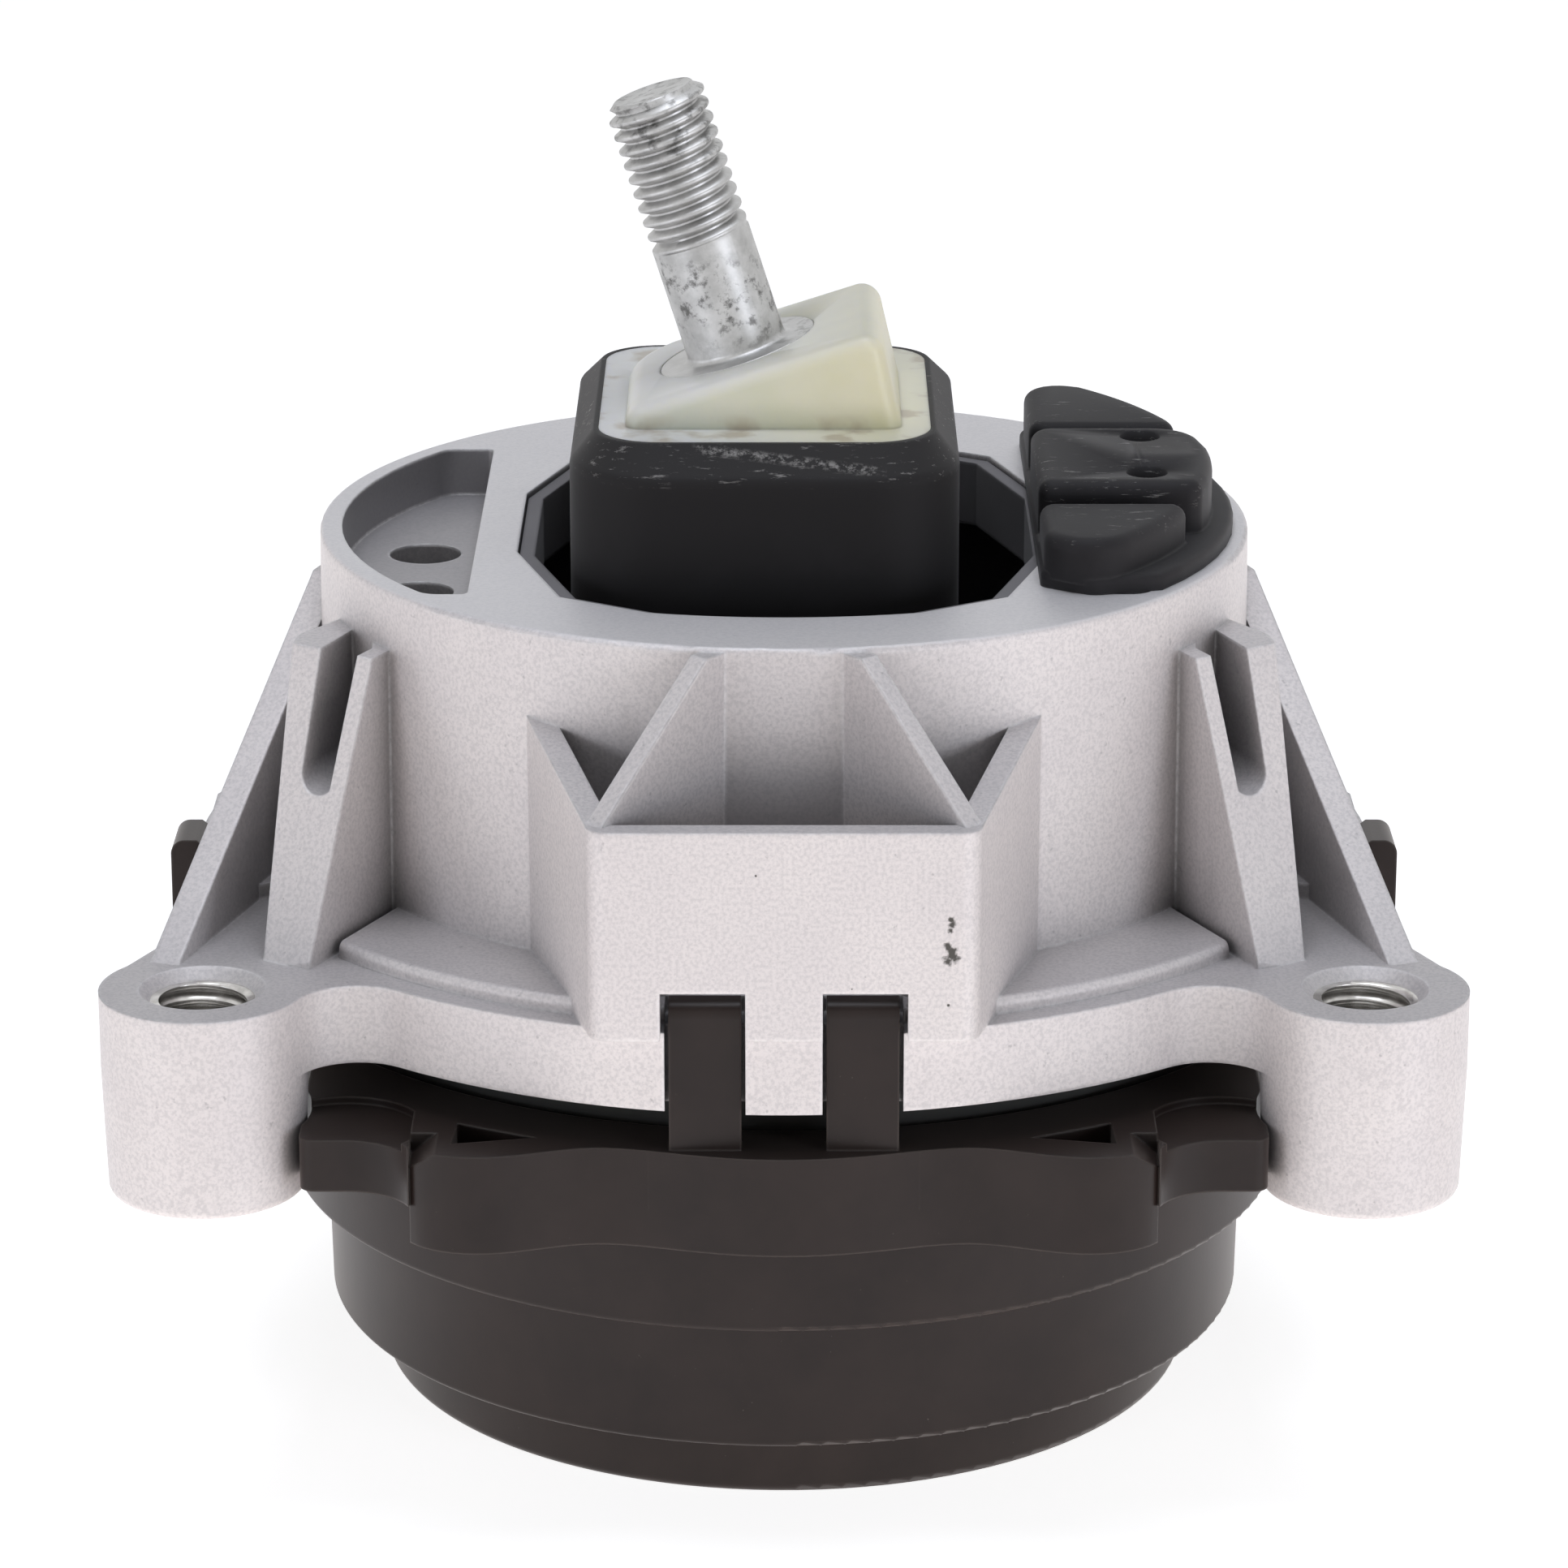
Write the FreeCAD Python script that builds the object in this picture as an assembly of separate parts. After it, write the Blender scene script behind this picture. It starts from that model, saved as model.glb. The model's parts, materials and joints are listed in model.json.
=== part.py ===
"""Hydraulic engine mount: die-cast housing, rubber spring with a slanted stud, clipped-on fluid cup.

Millimetres. The origin is the centre of the cup's foot, +Z is the mount's axis, the two front
lugs face -Y and the stud leans towards -X.
"""
import FreeCAD, Part
import math
import os

V = FreeCAD.Vector
UP = V(0, 0, 1)
FAR = 400.0

# Clearances between neighbours
RUN_GAP = 0.3
SOFT_GAP = 0.2
CLIP_GAP = 0.2

# Cup, turned about the axis: top zone, middle zone and foot step inwards
CUP_TOP_Z = 40.0
CUP_TOP_R = 51.3
CUP_UPPER_STEP = 3.7
CUP_UPPER_H = 18.7
CUP_LOWER_STEP = 5.3
CUP_FOOT_H = 7.4
CUP_FOOT_ROUND = 1.0
CUP_STEP_EDGE = 0.6
CUP_WALL = 2.4
CUP_RIM_W = 2.1
CUP_RIM_T = 2.6
VENT_R = 2.0
VENT_X = 14.0
CUP_MID_R = CUP_TOP_R - CUP_UPPER_STEP
CUP_MID_TOP = CUP_TOP_Z - CUP_UPPER_H
CUP_FOOT_R = CUP_MID_R - CUP_LOWER_STEP
CUP_RIM_R = CUP_TOP_R + CUP_RIM_W

# Plates, membrane and diaphragm inside the cup
PLATE_R = CUP_TOP_R - CUP_WALL - RUN_GAP
UPPER_PLATE_T = 4.0
LOWER_PLATE_T = 6.0
PLATE_RIM = 1.5
GRID_PITCH = 6.6
GRID_HOLE_R = 2.4
GRID_RING_COUNT = 2
GRID_LAND = 3.4
MEMBRANE_R = GRID_RING_COUNT * GRID_PITCH + GRID_HOLE_R + GRID_LAND
MEMBRANE_T = 2.0
CHANNEL_LAND = 5.6
CHANNEL_W = 6.0
CHANNEL_D = 4.0
CHANNEL_TURN = 330.0
CHANNEL_R = PLATE_R - CHANNEL_LAND - CHANNEL_W / 2
BEAD_T = 2.3
BEAD_W = 5.0
DIAPHRAGM_T = 1.6
DIAPHRAGM_DROP = 14.0
DIAPHRAGM_RISE = 6.3
DIAPHRAGM_CROWN_R = 22.0

# Ring of the rubber spring
RING_H = 7.2
RING_R = CUP_RIM_R - 0.9
RING_WALL = 11.0
RING_BORE_R = RING_R - RING_WALL
SPIGOT_H = 7.5
SPIGOT_WALL = 2.4

# Flange of the housing
FLANGE_T = 7.8
FLANGE_RIM = 7.5
FLANGE_R = RING_R + FLANGE_RIM
FLANGE_BOTTOM = CUP_TOP_Z + RING_H
FLANGE_TOP = FLANGE_BOTTOM + FLANGE_T
SIDE_FLAT = 0.5
SIDE_X = FLANGE_R - SIDE_FLAT
SIDE_PAD_Y = (-32.0, 13.0)
SIDE_PAD_BEVEL = (3.0, 6.0)
STEP_BACK = 2.5
STEP_R = FLANGE_R - STEP_BACK
STEP_H = 1.6
STEP_EDGE = STEP_H / 2

# Screw lugs
LUG_IN = (4.5, 13.5)
LUG_XY = (FLANGE_R - LUG_IN[0], LUG_IN[1] - FLANGE_R)
REAR_LUG_OUT = 8.0
REAR_LUG_Y = FLANGE_R + REAR_LUG_OUT
LUG_R = 9.9
LUG_DRAFT = 0.4
LUG_LEG_H = 12.4
LUG_BOTTOM = FLANGE_BOTTOM - LUG_LEG_H
LUG_EDGE = 0.9
LUG_BLEND_R = 6.0
THREAD_R = 5.0
SINK = 1.1

# Tower
FLANGE_LEDGE = 12.8
TOWER_R = FLANGE_R - FLANGE_LEDGE
TOWER_DRAFT = 0.4
TOWER_H = 33.7
TOWER_EDGE = 0.5
TOWER_WALL = 5.0
TOWER_TOP_R = TOWER_R - TOWER_DRAFT
TOWER_TOP = FLANGE_TOP + TOWER_H
CAVITY_R = TOWER_R - TOWER_WALL
ROOF_T = 5.5
POCKET_WALL = 2.2
POCKET_R = TOWER_TOP_R - POCKET_WALL
POCKET_REACH = 14.0
POCKET_X = POCKET_R - POCKET_REACH
POCKET_END_W = (4.1, 4.9)
POCKET_Y = (-math.sqrt(POCKET_R ** 2 - (POCKET_X + POCKET_END_W[0]) ** 2),
            math.sqrt(POCKET_R ** 2 - (POCKET_X + POCKET_END_W[1]) ** 2))
POCKET_DEPTH = 5.0
POCKET_FLOOR_T = 4.2
POCKET_ROUND = 2.4
POCKET_CORNER = 0.8
POCKET_SIDE = 2.1
ROOF_HALF_X = POCKET_X - POCKET_SIDE
PEG_HOLE_R = 3.65
PEG_X = POCKET_X + 6.0
PEG_Y = (4.0, -10.0)

# Window in the top of the tower: straight sides, slanted shoulders, bowed ends
WINDOW_FRAME = 4.2
WINDOW_X = POCKET_X - WINDOW_FRAME
WINDOW_SHOULDER_X = WINDOW_X - 4.8
WINDOW_NECK_X = WINDOW_SHOULDER_X - 8.6
WINDOW_END_Y = (6.2 - CAVITY_R, CAVITY_R - 11.2)
WINDOW_SHOULDER_RUN = 7.0
WINDOW_SLANT_RUN = (16.0, 15.0)
WINDOW_SHOULDER_Y = (WINDOW_END_Y[0] + WINDOW_SHOULDER_RUN, WINDOW_END_Y[1] - WINDOW_SHOULDER_RUN)
WINDOW_SIDE_Y = (WINDOW_SHOULDER_Y[0] + WINDOW_SLANT_RUN[0], WINDOW_SHOULDER_Y[1] - WINDOW_SLANT_RUN[1])
WINDOW_NECK_BACK = 1.6

# Ribs from the tower to the front lugs; angles run from the -X side towards the front
RIB_SINK = 0.65
SLOT_RIB_DROP = 6.0
SLOT_RIB_TOP = TOWER_TOP - SLOT_RIB_DROP
SLOT_RIB_FOOT = ((5.1, 7.4), (9.9, 5.1))
SLOT_RIB_ANGLES = (12.4, 34.8)
SLOT_RIB_RUN = 13.3
SLOT_RIB_TURN = 33.4
SLOT_RIB_WALL = 1.8
RIB_GAP = 1.0
SLOT_FLOOR = FLANGE_TOP + 15.0
SLOT_HALF = 2.1
SLOT_DRAFT = 0.45
OUTER_RIB_FOOT = (-5.7, 7.2)
OUTER_RIB_ANGLE = -16.7
OUTER_RIB_T = 3.0
OUTER_RIB_DROP = 6.3
OUTER_RIB_TOP = TOWER_TOP - OUTER_RIB_DROP
OUTER_RIB_HEAD_Y = 2.6
REAR_RIB_X = 8.0
REAR_RIB_T = 3.0
REAR_RIB_BACK = 6.0

# Bracket box at the front of the tower
BOX_X = 18.4
BOX_OUT = 1.2
BOX_Y = -FLANGE_R - BOX_OUT
BOX_WALL = 2.5
BOX_EDGE = BOX_WALL - 0.2
BOX_H = 20.4
BOX_TOP = FLANGE_TOP + BOX_H
BOX_SIDE_ANGLE = 58.0
BOX_SIDE_RISE = 4.9
BOX_WEB_T = 2.0
BOX_WEB_IN = 1.6
BOX_WEB_ANGLE = 84.0
BOX_WEB_DROP = 0.4
BOX_WEB_HEAD = 0.2
NOTCH_SIDE = 0.75
NOTCH_H = 4.7

# Clip collar
COLLAR_WALL = 3.6
COLLAR_R = CUP_RIM_R + COLLAR_WALL
COLLAR_RISE = 3.2
COLLAR_TOP = CUP_TOP_Z + COLLAR_RISE
COLLAR_H = 8.8
COLLAR_BOTTOM = COLLAR_TOP - COLLAR_H
EAR_H = 6.0
EAR_BOTTOM = COLLAR_TOP - EAR_H
EAR_Y = 2.7 - COLLAR_R
EAR_X = LUG_XY[0] - LUG_R + 0.5
EAR_EDGE = 1.5
EAR_FLAT = 4.1
EAR_DISH_R = 7.6
EAR_DISH_D = 0.8
RING_START = 6.0
SKIRT_IN = 10.7
SKIRT_X = EAR_X - SKIRT_IN
SKIRT_H = 9.8
SKIRT_WAVE = ((1.0, 3.6), (0.94, 1.7), (0.8, 0.6), (0.52, 3.1), (0.26, 1.4), (0.0, 0.0))
SKIRT_BOTTOM = COLLAR_TOP - SKIRT_H
SKIRT_BEVEL = 2.6
SKIRT_SIDE = 3.0
COLLAR_POCKET = ((4.0, 4.2), (4.3, 9.6), (12.0, 5.8))
COLLAR_POCKET_D = 6.0

# Clip legs
LEG_X = (4.0, 10.8)
LEG_T = 2.4
LEG_IN = 3.7
LEG_SEAT = FLANGE_R - LEG_IN
SIDE_SEAT = SIDE_X - 0.1
STAND_SIDE = 2.0
HOOK_H = 2.8
HOOK_TOP = FLANGE_TOP + HOOK_H
HOOK_REACH = 2.6
HOOK_ROUND = HOOK_H / 2
REAR_CLIP_ANGLE = 222.0
SKIRT_OUT = 2.4
SKIRT_Y = -LEG_SEAT - CLIP_GAP - LEG_T - SKIRT_OUT

# Core, its wedge and the rubber jacket
TRAVEL_X = (5.4, 9.2)
TRAVEL_Y = (10.4, 7.4)
JACKET_SIDE = 2.8
JACKET_FRONT = 5.0
CORE_X = (TRAVEL_X[0] - TRAVEL_X[1]) / 2
CORE_Y = (WINDOW_END_Y[0] + WINDOW_END_Y[1] + TRAVEL_Y[0] - TRAVEL_Y[1]) / 2
CORE_HALF = (WINDOW_X - sum(TRAVEL_X) / 2 - JACKET_SIDE,
             (WINDOW_END_Y[1] - WINDOW_END_Y[0] - sum(TRAVEL_Y)) / 2 - JACKET_FRONT)
CORE_ROUND = 6.0
CORE_LIFT = 9.0
CORE_BOTTOM = FLANGE_TOP + CORE_LIFT
LEDGE_OUT = 13.2
LEDGE_Z = TOWER_TOP + LEDGE_OUT
JACKET_ROUND = 8.8
JACKET_SLOPE = 2.6
JACKET_EDGE_Z = LEDGE_Z - JACKET_SLOPE
JACKET_ROLL = 1.2
JACKET_LIP = 0.5
WEDGE_IN_X = (2.6, 2.8)
WEDGE_IN_Y = (4.9, 9.6)
WEDGE_LOW = 1.8
WEDGE_X = (CORE_X - CORE_HALF[0] + WEDGE_IN_X[0], CORE_X + CORE_HALF[0] - WEDGE_IN_X[1])
WEDGE_Y = (CORE_Y - CORE_HALF[1] + WEDGE_IN_Y[0], CORE_Y + CORE_HALF[1] - WEDGE_IN_Y[1])
WEDGE_ROUND = 6.0
WEDGE_EDGE = 2.0
WEDGE_LEAN = 13.0
CONE_RISE = 8.0
CONE_TOP_Z = CORE_BOTTOM + CONE_RISE
CONE_TOP_OUT = 3.9
CONE_TOP_R = CORE_HALF[1] + CONE_TOP_OUT
CONE_SKIN = 4.0
CONE_WALL = 7.5
CHAMBER_R = RING_BORE_R - CONE_WALL
CHAMBER_ROOF_R = 12.0
CHAMBER_RIM_H = 2.6

# Stud
STUD_R = 5.0
STUD_TILT = 17.8
STUD_OFF = (2.8, 2.2)
STUD_X = CORE_X - STUD_OFF[0]
STUD_RISE = WEDGE_LOW + (STUD_X - WEDGE_X[0]) * math.tan(math.radians(STUD_TILT))
STUD_FOOT = (STUD_X, CORE_Y - STUD_OFF[1], LEDGE_Z + STUD_RISE)
STUD_LENGTH = 27.0
STUD_TIP_CHAMFER = 1.1
STUD_COLLAR_R = 8.1
STUD_COLLAR_T = 2.0
STUD_ROOT_R = 6.5
STUD_ROOT_L = 24.0

# Rubber stop in the right pocket
STOP_X = WINDOW_X - 1.0
STOP_Y = (POCKET_Y[0] - 0.3, POCKET_Y[1] + 3.5)
STOP_IN = 3.1
STOP_LIP_IN = 1.4
STOP_R = TOWER_TOP_R - STOP_IN
STOP_LIP_R = TOWER_TOP_R - STOP_LIP_IN
STOP_LIP_T = 1.9
STOP_LIP_W = 0.6
STOP_ROUND = 3.0
STOP_BLOCK_ROUND = 1.8
STOP_BLOCK_L = (13.7, 24.1)
STOP_GROOVE_Y = (STOP_Y[0] + STOP_BLOCK_L[0], STOP_Y[1] - STOP_BLOCK_L[1])
STOP_GROOVE_W = 1.4
STOP_HEIGHTS = (5.4, 6.9, 6.3)
STOP_EDGE = 1.1
DIMPLE_R = 2.1
DIMPLE_D = 1.6
PEG_NECK_R = 2.4
PEG_HEAD_R = 4.3
PEG_HEAD_T = 2.6

# Lining of the tower
LINER_T = 1.5
LINER_BOTTOM = FLANGE_TOP + 3.0
LINER_SHOULDER_Z = TOWER_TOP - 13.7
LINER_REVEAL = 0.5


def cylinder(radius, bottom, top, x=0.0, y=0.0):
    return Part.makeCylinder(radius, top - bottom, V(x, y, bottom))


def turned(profile):
    """Solid of revolution about Z from (radius, height) points."""
    points = [V(r, 0, z) for r, z in profile]
    face = Part.Face(Part.makePolygon(points + points[:1]))
    return face.revolve(V(0, 0, 0), UP, 360)


def flat_face(points):
    corners = [V(x, y, 0) for x, y in points]
    return Part.Face(Part.makePolygon(corners + corners[:1]))


def raised(face, bottom, top):
    """Upright solid on a flat face drawn at height zero."""
    moved = face.copy()
    moved.translate(V(0, 0, bottom))
    return moved.extrude(V(0, 0, top - bottom))


def prism(points, bottom, top):
    return raised(flat_face(points), bottom, top)


def box(x, y, z):
    return Part.makeBox(x[1] - x[0], y[1] - y[0], z[1] - z[0], V(x[0], y[0], z[0]))


def mirrored(shape):
    return shape.mirror(V(0, 0, 0), V(1, 0, 0))


def both_sides(shape):
    return [shape, mirrored(shape)]


def spun(shape, degrees):
    copy = shape.copy()
    copy.rotate(V(0, 0, 0), UP, degrees)
    return copy


def fused(shapes):
    whole = shapes[0].multiFuse(shapes[1:])
    return whole.removeSplitter()


def upright_edges(shape, near=None, reach=1.0):
    """Vertical edges of a shape, or only those close to one of the given plan points."""
    found = []
    for edge in shape.Edges:
        first, last = edge.Vertexes[0].Point, edge.Vertexes[-1].Point
        if abs(first.x - last.x) + abs(first.y - last.y) > 1e-6 or abs(first.z - last.z) < 1e-6:
            continue
        if near is None or any(math.hypot(first.x - x, first.y - y) < reach for x, y in near):
            found.append(edge)
    return found


def edges_at(shape, height, reach=1e-3):
    """Edges that lie wholly at one height."""
    return [e for e in shape.Edges if abs(e.BoundBox.ZMin - height) < reach
            and abs(e.BoundBox.ZMax - height) < reach]


def rounded_box(half, radius, centre, bottom, top):
    x, y = centre
    block = box((x - half[0], x + half[0]), (y - half[1], y + half[1]), (bottom, top))
    return block.makeFillet(radius, upright_edges(block))


def sloped_wall(start, end, width, side, start_top, end_top, bottom):
    """Straight wall with a top edge that rises from start to end."""
    dx, dy = end[0] - start[0], end[1] - start[1]
    profile = [V(*start, bottom), V(*end, bottom), V(*end, end_top), V(*start, start_top)]
    length = math.hypot(dx, dy)
    depth = V(-dy / length * width * side, dx / length * width * side, 0)
    return Part.Face(Part.makePolygon(profile + profile[:1])).extrude(depth)


def outside_blend(centre, radius, blend, turn):
    """Centre of a hollow arc that touches the flange's circle and a lug's circle."""
    reach = math.hypot(*centre)
    near, far = radius + blend, FLANGE_R + blend
    opening = math.acos((reach ** 2 + far ** 2 - near ** 2) / (2 * reach * far))
    angle = math.atan2(centre[1], centre[0]) + turn * opening
    return far * math.cos(angle), far * math.sin(angle)


def neck(centre, turn):
    """Web with a hollow arc that leads from the flange's rim into a lug."""
    x, y = outside_blend(centre, LUG_R, LUG_BLEND_R, turn)
    web = prism([(0, 0), (x, y), centre], FLANGE_BOTTOM, FLANGE_TOP)
    return web.cut(cylinder(LUG_BLEND_R, FLANGE_BOTTOM - 1, FLANGE_TOP + 1, x, y))


def flange():
    plate = cylinder(FLANGE_R, FLANGE_BOTTOM, FLANGE_TOP)
    left, rear = (-LUG_XY[0], LUG_XY[1]), (0.0, REAR_LUG_Y)
    bevel_x, bevel_y = SIDE_PAD_BEVEL
    side = [(0, SIDE_PAD_Y[1] + bevel_y), (bevel_x - SIDE_X, SIDE_PAD_Y[1] + bevel_y),
            (-SIDE_X, SIDE_PAD_Y[1]), (-SIDE_X, SIDE_PAD_Y[0]),
            (left[0] - LUG_R * 0.975, left[1] + LUG_R * 0.2), left, (0, 0)]
    half = [prism(side, FLANGE_BOTTOM, FLANGE_TOP), neck(left, 1), neck(rear, 1)]
    lug = cylinder(LUG_R, FLANGE_BOTTOM, FLANGE_TOP, *left)
    parts = [plate, cylinder(LUG_R, FLANGE_BOTTOM, FLANGE_TOP, *rear)]
    for piece in half + [lug]:
        parts += both_sides(piece)
    return fused(parts)


def lug_places():
    return (-LUG_XY[0], LUG_XY[1]), LUG_XY, (0.0, REAR_LUG_Y)


def lug_leg(x, y):
    """Drafted boss that hangs down from the flange round a thread."""
    leg = Part.makeCone(LUG_R - LUG_DRAFT, LUG_R, LUG_LEG_H, V(x, y, LUG_BOTTOM))
    return leg.makeFillet(LUG_EDGE, edges_at(leg, LUG_BOTTOM))


def lug_hole(x, y):
    thread = cylinder(THREAD_R, LUG_BOTTOM - 1, FLANGE_TOP + 1, x, y)
    mouth = Part.makeCone(THREAD_R, THREAD_R + 2 * SINK, 2 * SINK, V(x, y, FLANGE_TOP - SINK))
    foot = Part.makeCone(THREAD_R + SINK, THREAD_R, SINK, V(x, y, LUG_BOTTOM))
    return thread.fuse([mouth, foot])


def window_face():
    """Eight-sided window with bowed ends, in plan."""
    def end(index):
        side_y, shoulder_y, end_y = WINDOW_SIDE_Y[index], WINDOW_SHOULDER_Y[index], WINDOW_END_Y[index]
        inward = WINDOW_NECK_BACK if index == 0 else -WINDOW_NECK_BACK
        corner = V(WINDOW_X, side_y, 0)
        shoulder = V(WINDOW_SHOULDER_X, shoulder_y, 0)
        tip = V(WINDOW_NECK_X, end_y + inward, 0)
        bow = Part.Arc(tip, V(0, end_y, 0), V(-tip.x, tip.y, 0)).toShape()
        return [Part.makeLine(V(-corner.x, corner.y, 0), V(-shoulder.x, shoulder.y, 0)),
                Part.makeLine(V(-shoulder.x, shoulder.y, 0), V(-tip.x, tip.y, 0)), bow,
                Part.makeLine(tip, shoulder), Part.makeLine(shoulder, corner)]
    sides = [Part.makeLine(V(x, WINDOW_SIDE_Y[0], 0), V(x, WINDOW_SIDE_Y[1], 0))
             for x in (-WINDOW_X, WINDOW_X)]
    edges = Part.__sortEdges__(end(0) + end(1) + sides)
    return Part.Face(Part.Wire(edges))


def inset(face, distance):
    return face.makeOffset2D(-distance, 0, False, False, False)


def pocket(gap, floor, top):
    """D-shaped recess of the left side, or its filling when a gap is given."""
    half = box((-FAR, -POCKET_X - gap), (POCKET_Y[0] + gap, POCKET_Y[1] - gap), (floor, top))
    shape = cylinder(POCKET_R - gap, floor, top).common(half)
    inner = [(-POCKET_X - gap, y) for y in (POCKET_Y[0] + gap, POCKET_Y[1] - gap)]
    shape = shape.makeFillet(POCKET_CORNER, upright_edges(shape, inner))
    ends = [(-math.sqrt((POCKET_R - gap) ** 2 - y * y), y) for _, y in inner]
    return shape.makeFillet(POCKET_ROUND, upright_edges(shape, ends))


def tower():
    body = Part.makeCone(TOWER_R, TOWER_TOP_R, TOWER_TOP - FLANGE_BOTTOM, V(0, 0, FLANGE_BOTTOM))
    return body.makeFillet(TOWER_EDGE, edges_at(body, TOWER_TOP))


def cavity():
    """Room inside the tower: higher in the middle, lower under the pockets."""
    low = cylinder(CAVITY_R, FLANGE_BOTTOM - 1, TOWER_TOP - POCKET_DEPTH - POCKET_FLOOR_T)
    high = cylinder(CAVITY_R, FLANGE_BOTTOM - 1, TOWER_TOP - ROOF_T)
    middle = box((-ROOF_HALF_X, ROOF_HALF_X), (-FAR, FAR), (0, FAR))
    return low.fuse(high.common(middle))


def on_tower(angle, sink=RIB_SINK):
    """Plan point just inside the tower's wall, at an angle from the -X side towards the front."""
    a = math.radians(angle)
    return -(TOWER_R - sink) * math.cos(a), -(TOWER_R - sink) * math.sin(a)


def by_lug(offset):
    """Plan point at an offset from the left lug's centre."""
    return offset[0] - LUG_XY[0], offset[1] + LUG_XY[1]


def step_ring():
    """Shallow shelf round the tower, left open beside the slotted ribs."""
    ring = cylinder(STEP_R, FLANGE_TOP, FLANGE_TOP + STEP_H)
    ring = ring.makeFillet(STEP_EDGE, edges_at(ring, FLANGE_TOP + STEP_H))
    rib_side = by_lug(SLOT_RIB_FOOT[1])
    gap = prism([by_lug((-LUG_R, 2 * LUG_R)), by_lug((-LUG_R, 0)), by_lug((LUG_R, 0)),
                 (rib_side[0] + RIB_GAP, rib_side[1]), on_tower(SLOT_RIB_ANGLES[1] + 1),
                 on_tower(SLOT_RIB_ANGLES[0] + 9)], FLANGE_TOP, FLANGE_TOP + STEP_H)
    return ring.cut(gap.fuse(mirrored(gap)))


def slot_channel(start, end):
    """Channel with a round floor and drafted sides that runs level from start to end."""
    run = end - start
    side = V(-run.y, run.x, 0) * (1 / run.Length)
    low, high = UP * (SLOT_FLOOR + SLOT_HALF), UP * (SLOT_RIB_TOP + 5)
    narrow, wide = side * SLOT_HALF, side * (SLOT_HALF + SLOT_DRAFT)
    left, right = start + narrow + low, start - narrow + low
    floor = Part.Arc(left, start + UP * SLOT_FLOOR, right)
    rest = Part.makePolygon([right, start - wide + high, start + wide + high, left])
    return Part.Face(Part.Wire([floor.toShape()] + rest.Edges)).extrude(run)


def slot_rib():
    """Hollow rib with two prongs: a slot opens through its sloping front."""
    foot_l, foot_r = [by_lug(offset) for offset in SLOT_RIB_FOOT]
    root_l, root_r = [on_tower(angle) for angle in SLOT_RIB_ANGLES]
    inside = on_tower(sum(SLOT_RIB_ANGLES) / 2, TOWER_WALL)
    plan = flat_face([foot_l, foot_r, root_r, inside, root_l])
    turn = math.radians(SLOT_RIB_TURN)
    across = V(math.cos(turn), -math.sin(turn), 0)
    back = V(-across.y, across.x, 0)
    start = V((foot_l[0] + foot_r[0]) / 2, (foot_l[1] + foot_r[1]) / 2, 0) - across * LUG_R
    profile = [start + UP * FLANGE_TOP, start + back * SLOT_RIB_RUN + UP * SLOT_RIB_TOP,
               start + back * TOWER_R + UP * SLOT_RIB_TOP, start + back * TOWER_R + UP * FLANGE_TOP]
    wedge = Part.Face(Part.makePolygon(profile + profile[:1])).extrude(across * TOWER_R)
    body = raised(plan, FLANGE_TOP, SLOT_RIB_TOP).common(wedge)
    hollow = raised(inset(plan, SLOT_RIB_WALL), SLOT_FLOOR, SLOT_RIB_TOP + 5)
    middle = V((foot_l[0] + foot_r[0]) / 2, (foot_l[1] + foot_r[1]) / 2, 0)
    return body.cut(hollow.common(slot_channel(middle, V(*inside, 0))))


def outer_rib():
    """Plain rib that leaves the tower at a tangent and runs down to the lug."""
    foot, root = by_lug(OUTER_RIB_FOOT), on_tower(OUTER_RIB_ANGLE)
    share = (OUTER_RIB_HEAD_Y - foot[1]) / (root[1] - foot[1])
    head = (foot[0] + share * (root[0] - foot[0]), OUTER_RIB_HEAD_Y)
    slope = sloped_wall(foot, head, OUTER_RIB_T, -1, FLANGE_TOP, OUTER_RIB_TOP, FLANGE_TOP - 1)
    flat = sloped_wall(head, root, OUTER_RIB_T, -1, OUTER_RIB_TOP, OUTER_RIB_TOP, FLANGE_TOP - 1)
    return slope.fuse(flat)


def rear_rib():
    """Rib from the back of the tower down to the rear lug."""
    root = (-REAR_RIB_X, CAVITY_R)
    foot = (-REAR_RIB_X, REAR_LUG_Y - REAR_RIB_BACK)
    return sloped_wall(root, foot, REAR_RIB_T, 1, OUTER_RIB_TOP, FLANGE_TOP, FLANGE_TOP - 1)


def bracket_box():
    """Open box in front of the tower: front plate, slanted sides and two inner webs."""
    plate = box((-BOX_X, BOX_X), (BOX_Y, BOX_Y + BOX_WALL), (FLANGE_TOP, BOX_TOP))
    corners = [(x, BOX_Y) for x in (-BOX_X, BOX_X)]
    plate = plate.makeFillet(BOX_EDGE, upright_edges(plate, corners))
    side = sloped_wall((-BOX_X, BOX_Y + BOX_EDGE), on_tower(BOX_SIDE_ANGLE), BOX_WALL, -1,
                       BOX_TOP, BOX_TOP + BOX_SIDE_RISE, FLANGE_TOP)
    foot, root = (BOX_WEB_IN - BOX_X, BOX_Y + BOX_WEB_IN), on_tower(BOX_WEB_ANGLE, 2 * RIB_SINK)
    head = [r + (f - r) * BOX_WEB_HEAD for f, r in zip(foot, root)]
    high = TOWER_TOP - BOX_WEB_DROP
    web = sloped_wall(foot, head, BOX_WEB_T, 1, BOX_TOP, high, FLANGE_TOP)
    web = web.fuse(sloped_wall(head, root, BOX_WEB_T, 1, high, high, FLANGE_TOP))
    notch = box((LEG_X[0] - 2 * CLIP_GAP, LEG_X[1] + NOTCH_SIDE),
                (BOX_Y - 1, BOX_Y + BOX_WALL + HOOK_REACH), (FLANGE_TOP - 1, FLANGE_TOP + NOTCH_H))
    whole = fused([plate] + both_sides(side) + both_sides(web))
    return whole.cut(notch.fuse(mirrored(notch)))


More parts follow.
